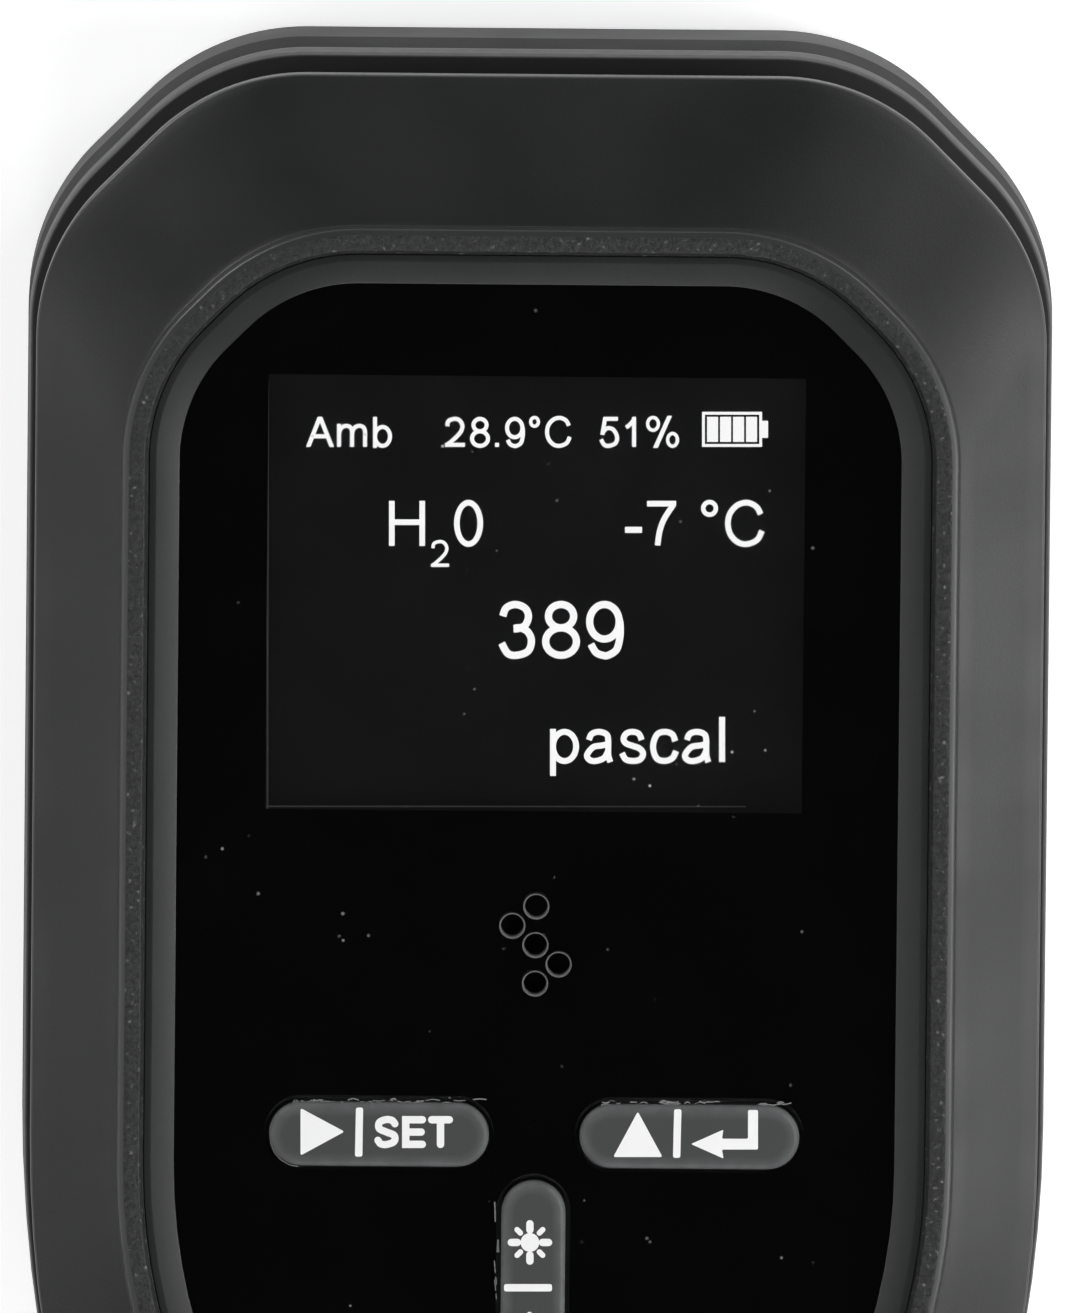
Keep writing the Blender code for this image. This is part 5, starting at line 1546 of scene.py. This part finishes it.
def port_body():
    start, end = along_port("port_body")
    mesh = turned_mesh("port_turned", (
        (PORT_BORE, start, 0.0),
        (PORT_BORE, end - 0.2 * MM, 0.0),
        (PORT_BORE + 0.2 * MM, end, 0.0),
        (CONE_TIP, end, 0.12 * MM),
        (HEAD_RADIUS, HEAD_END, 0.15 * MM),
        (HEAD_RADIUS, HEAD_START, 0.2 * MM),
        (SHANK_RADIUS, HEAD_START, 0.15 * MM),
        (SHANK_RADIUS, COLLAR_END, 0.3 * MM),
        (COLLAR_RADIUS, COLLAR_END, 0.3 * MM),
        (COLLAR_RADIUS, CLEARANCE, 0.2 * MM),
        (NECK_RADIUS, CLEARANCE, 0.15 * MM),
        (NECK_RADIUS, FLANGE_END, 0.15 * MM),
        (FLANGE_RADIUS, FLANGE_END, 0.2 * MM),
        (FLANGE_RADIUS, start, 0.2 * MM),
    ))
    piece = new_piece("port_turned", mesh)
    piece.data.materials.append(BRASS)
    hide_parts("port_body")


def thread_mesh(name, start, end):
    """A helical ridge inside the nut's bore that fades out at both ends."""
    root = NUT_BORE + 0.05 * MM
    crest = NUT_BORE - THREAD_DEPTH
    section = ((root, -THREAD_FOOT), (crest, -THREAD_CREST), (crest, THREAD_CREST), (root, THREAD_FOOT))
    turns = (end - start) / THREAD_PITCH - 1
    total = round(turns * THREAD_STEPS)
    loops = []
    for i in range(total + 1):
        angle = 2 * math.pi * i / THREAD_STEPS
        fade = min(1.0, i / THREAD_FADE, (total - i) / THREAD_FADE)
        middle = start + (i / THREAD_STEPS + 0.5) * THREAD_PITCH
        loop = []
        for radius, across in section:
            reach = root + (radius - root) * max(fade, 0.02)
            height = middle + across * THREAD_PITCH
            loop.append((reach * math.cos(angle), reach * math.sin(angle), height))
        loops.append(loop)
    return on_port(skin_mesh(name, loops))


def swivel_nut():
    start, end = along_port("swivel_nut")
    corner = NUT_FLATS / math.sqrt(3)
    blank = turned_mesh("swivel_nut_turned", (
        (NUT_BORE, NUT_LIP_END, 0.0),
        (NUT_BORE, end - 0.5 * MM, 0.0),
        (NUT_BORE + 0.4 * MM, end, 0.05 * MM),
        (corner - NUT_CHAMFER, end, 0.1 * MM),
        (corner + 0.1 * MM, end - NUT_CHAMFER_RISE, 0.0),
        (corner + 0.1 * MM, start + NUT_CHAMFER_RISE, 0.0),
        (corner - NUT_CHAMFER, start, 0.1 * MM),
        (NUT_LIP_BORE, start, 0.15 * MM),
        (NUT_LIP_BORE, NUT_LIP_END, 0.0),
    ))
    flats = []
    for i in range(6):
        turn = math.radians(60 * i)
        tip = corner - NUT_CORNER / math.cos(math.radians(30))
        flats += arc(tip * math.cos(turn), tip * math.sin(turn), NUT_CORNER, 60 * i - 30, 60 * i + 30, 4)
    hexagon = on_port(prism_mesh("hexagon", flats, start - MM, end + MM))
    mesh = carve(blank, [hexagon], "INTERSECT")
    mesh = carve(mesh, [thread_mesh("thread", THREAD_START, end - 0.4 * MM)], "UNION")
    piece = new_piece("swivel_nut_turned", mesh, "nut")
    piece.data.materials.append(BRASS)
    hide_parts("swivel_nut")


port_body()
swivel_nut()
dress("core_pin", BRASS)
dress("flare_washer", COPPER)
dress("snap_ring", PLATED_STEEL)
dress("port_seal", SEAL_RUBBER)
dress("vacuum_sensor", PLATED_STEEL)


# Studio. A white light table with five soft lamps: one on the right, which lights the gauge most, one
# on the left, one at the foot and two at the head. The surround is pale low down and dark overhead,
# so that the lens stays black.
FLOOR_HEX = "f0f0f0"
FLOOR_GLOW = 0.5
FLOOR_SIZE = 12.0
HORIZON = 0.5
ZENITH = 0.02

# Lamps: name, place, width and length in metres, and power in watts
SOFTBOXES = (
    ("right_softbox", (0.24, -0.01, 0.19), (0.18, 0.20), 0.62),
    ("left_softbox", (-0.22, -0.005, 0.19), (0.18, 0.20), 0.22),
    ("foot_softbox", (0.0, -0.40, 0.25), (0.30, 0.20), 0.78),
    ("head_left_softbox", (-0.24, 0.28, 0.15), (0.12, 0.12), 0.5),
    ("head_right_softbox", (0.26, 0.30, 0.21), (0.20, 0.20), 0.5),
)


def light_table(name):
    """Matt opal sheet lit softly from below: white, with only a faint shadow round what lies on it."""
    material, shader, place = new_material(name, {"Roughness": 0.9, "Base Color": linear(FLOOR_HEX)})
    shader.inputs["Specular IOR Level"].default_value = 0.2
    shader.inputs["Emission Color"].default_value = (1.0, 1.0, 1.0, 1.0)
    cloud = add_node(material, "ShaderNodeTexNoise", {"Scale": 2.0, "Detail": 1.0}, {"Vector": place})
    level = add_node(
        material, "ShaderNodeMapRange",
        {"To Min": FLOOR_GLOW - 0.02, "To Max": FLOOR_GLOW + 0.02}, {"Value": cloud.outputs["Fac"]},
    )
    material.node_tree.links.new(level.outputs["Result"], shader.inputs["Emission Strength"])
    return material


def box_mesh(name, low, high):
    bm = bmesh.new()
    bmesh.ops.create_cube(bm, size=1.0)
    size = Vector(high) - Vector(low)
    middle = (Vector(high) + Vector(low)) / 2
    bmesh.ops.transform(bm, matrix=Matrix.Translation(middle) @ Matrix.Diagonal((*size, 1.0)), verts=bm.verts)
    mesh = bpy.data.meshes.new(name)
    bm.to_mesh(mesh)
    bm.free()
    return mesh


def studio_floor():
    mesh = box_mesh("floor", (-FLOOR_SIZE, -FLOOR_SIZE, -0.02), (FLOOR_SIZE, FLOOR_SIZE, 0.0))
    floor = bpy.data.objects.new("floor", mesh)
    bpy.context.scene.collection.objects.link(floor)
    floor.data.materials.append(light_table("opal_light_table"))


def area_lamp(name, place, size, power):
    data = bpy.data.lights.new(name, "AREA")
    data.shape = "RECTANGLE"
    data.size, data.size_y = size
    data.energy = power
    lamp = bpy.data.objects.new(name, data)
    bpy.context.scene.collection.objects.link(lamp)
    lamp.location = place
    lamp.rotation_euler = (-Vector(place)).to_track_quat("-Z", "Y").to_euler()
    lamp.visible_camera = False


def surround():
    """A world that is pale near the horizon, white where the camera sees it and dark overhead."""
    world = bpy.data.worlds.new("studio")
    bpy.context.scene.world = world
    world.use_nodes = True
    tree = world.node_tree
    back = tree.nodes["Background"]
    back.inputs["Color"].default_value = (1.0, 1.0, 1.0, 1.0)
    coordinates = add_node(world, "ShaderNodeTexCoord")
    split = add_node(world, "ShaderNodeSeparateXYZ", links={"Vector": coordinates.outputs["Generated"]})
    low = add_node(
        world, "ShaderNodeMapRange",
        {"From Min": 0.08, "From Max": 0.4, "To Min": HORIZON, "To Max": ZENITH},
        {"Value": split.outputs["Z"]},
    )
    rays = add_node(world, "ShaderNodeLightPath")
    seen = add_node(world, "ShaderNodeMix", {"data_type": "FLOAT"}, {"Factor": rays.outputs["Is Camera Ray"]})
    tree.links.new(low.outputs["Result"], seen.inputs["A"])
    seen.inputs["B"].default_value = 1.0
    tree.links.new(seen.outputs["Result"], back.inputs["Strength"])


studio_floor()
surround()
for softbox in SOFTBOXES:
    area_lamp(*softbox)
bpy.context.scene.view_settings.view_transform = "Standard"
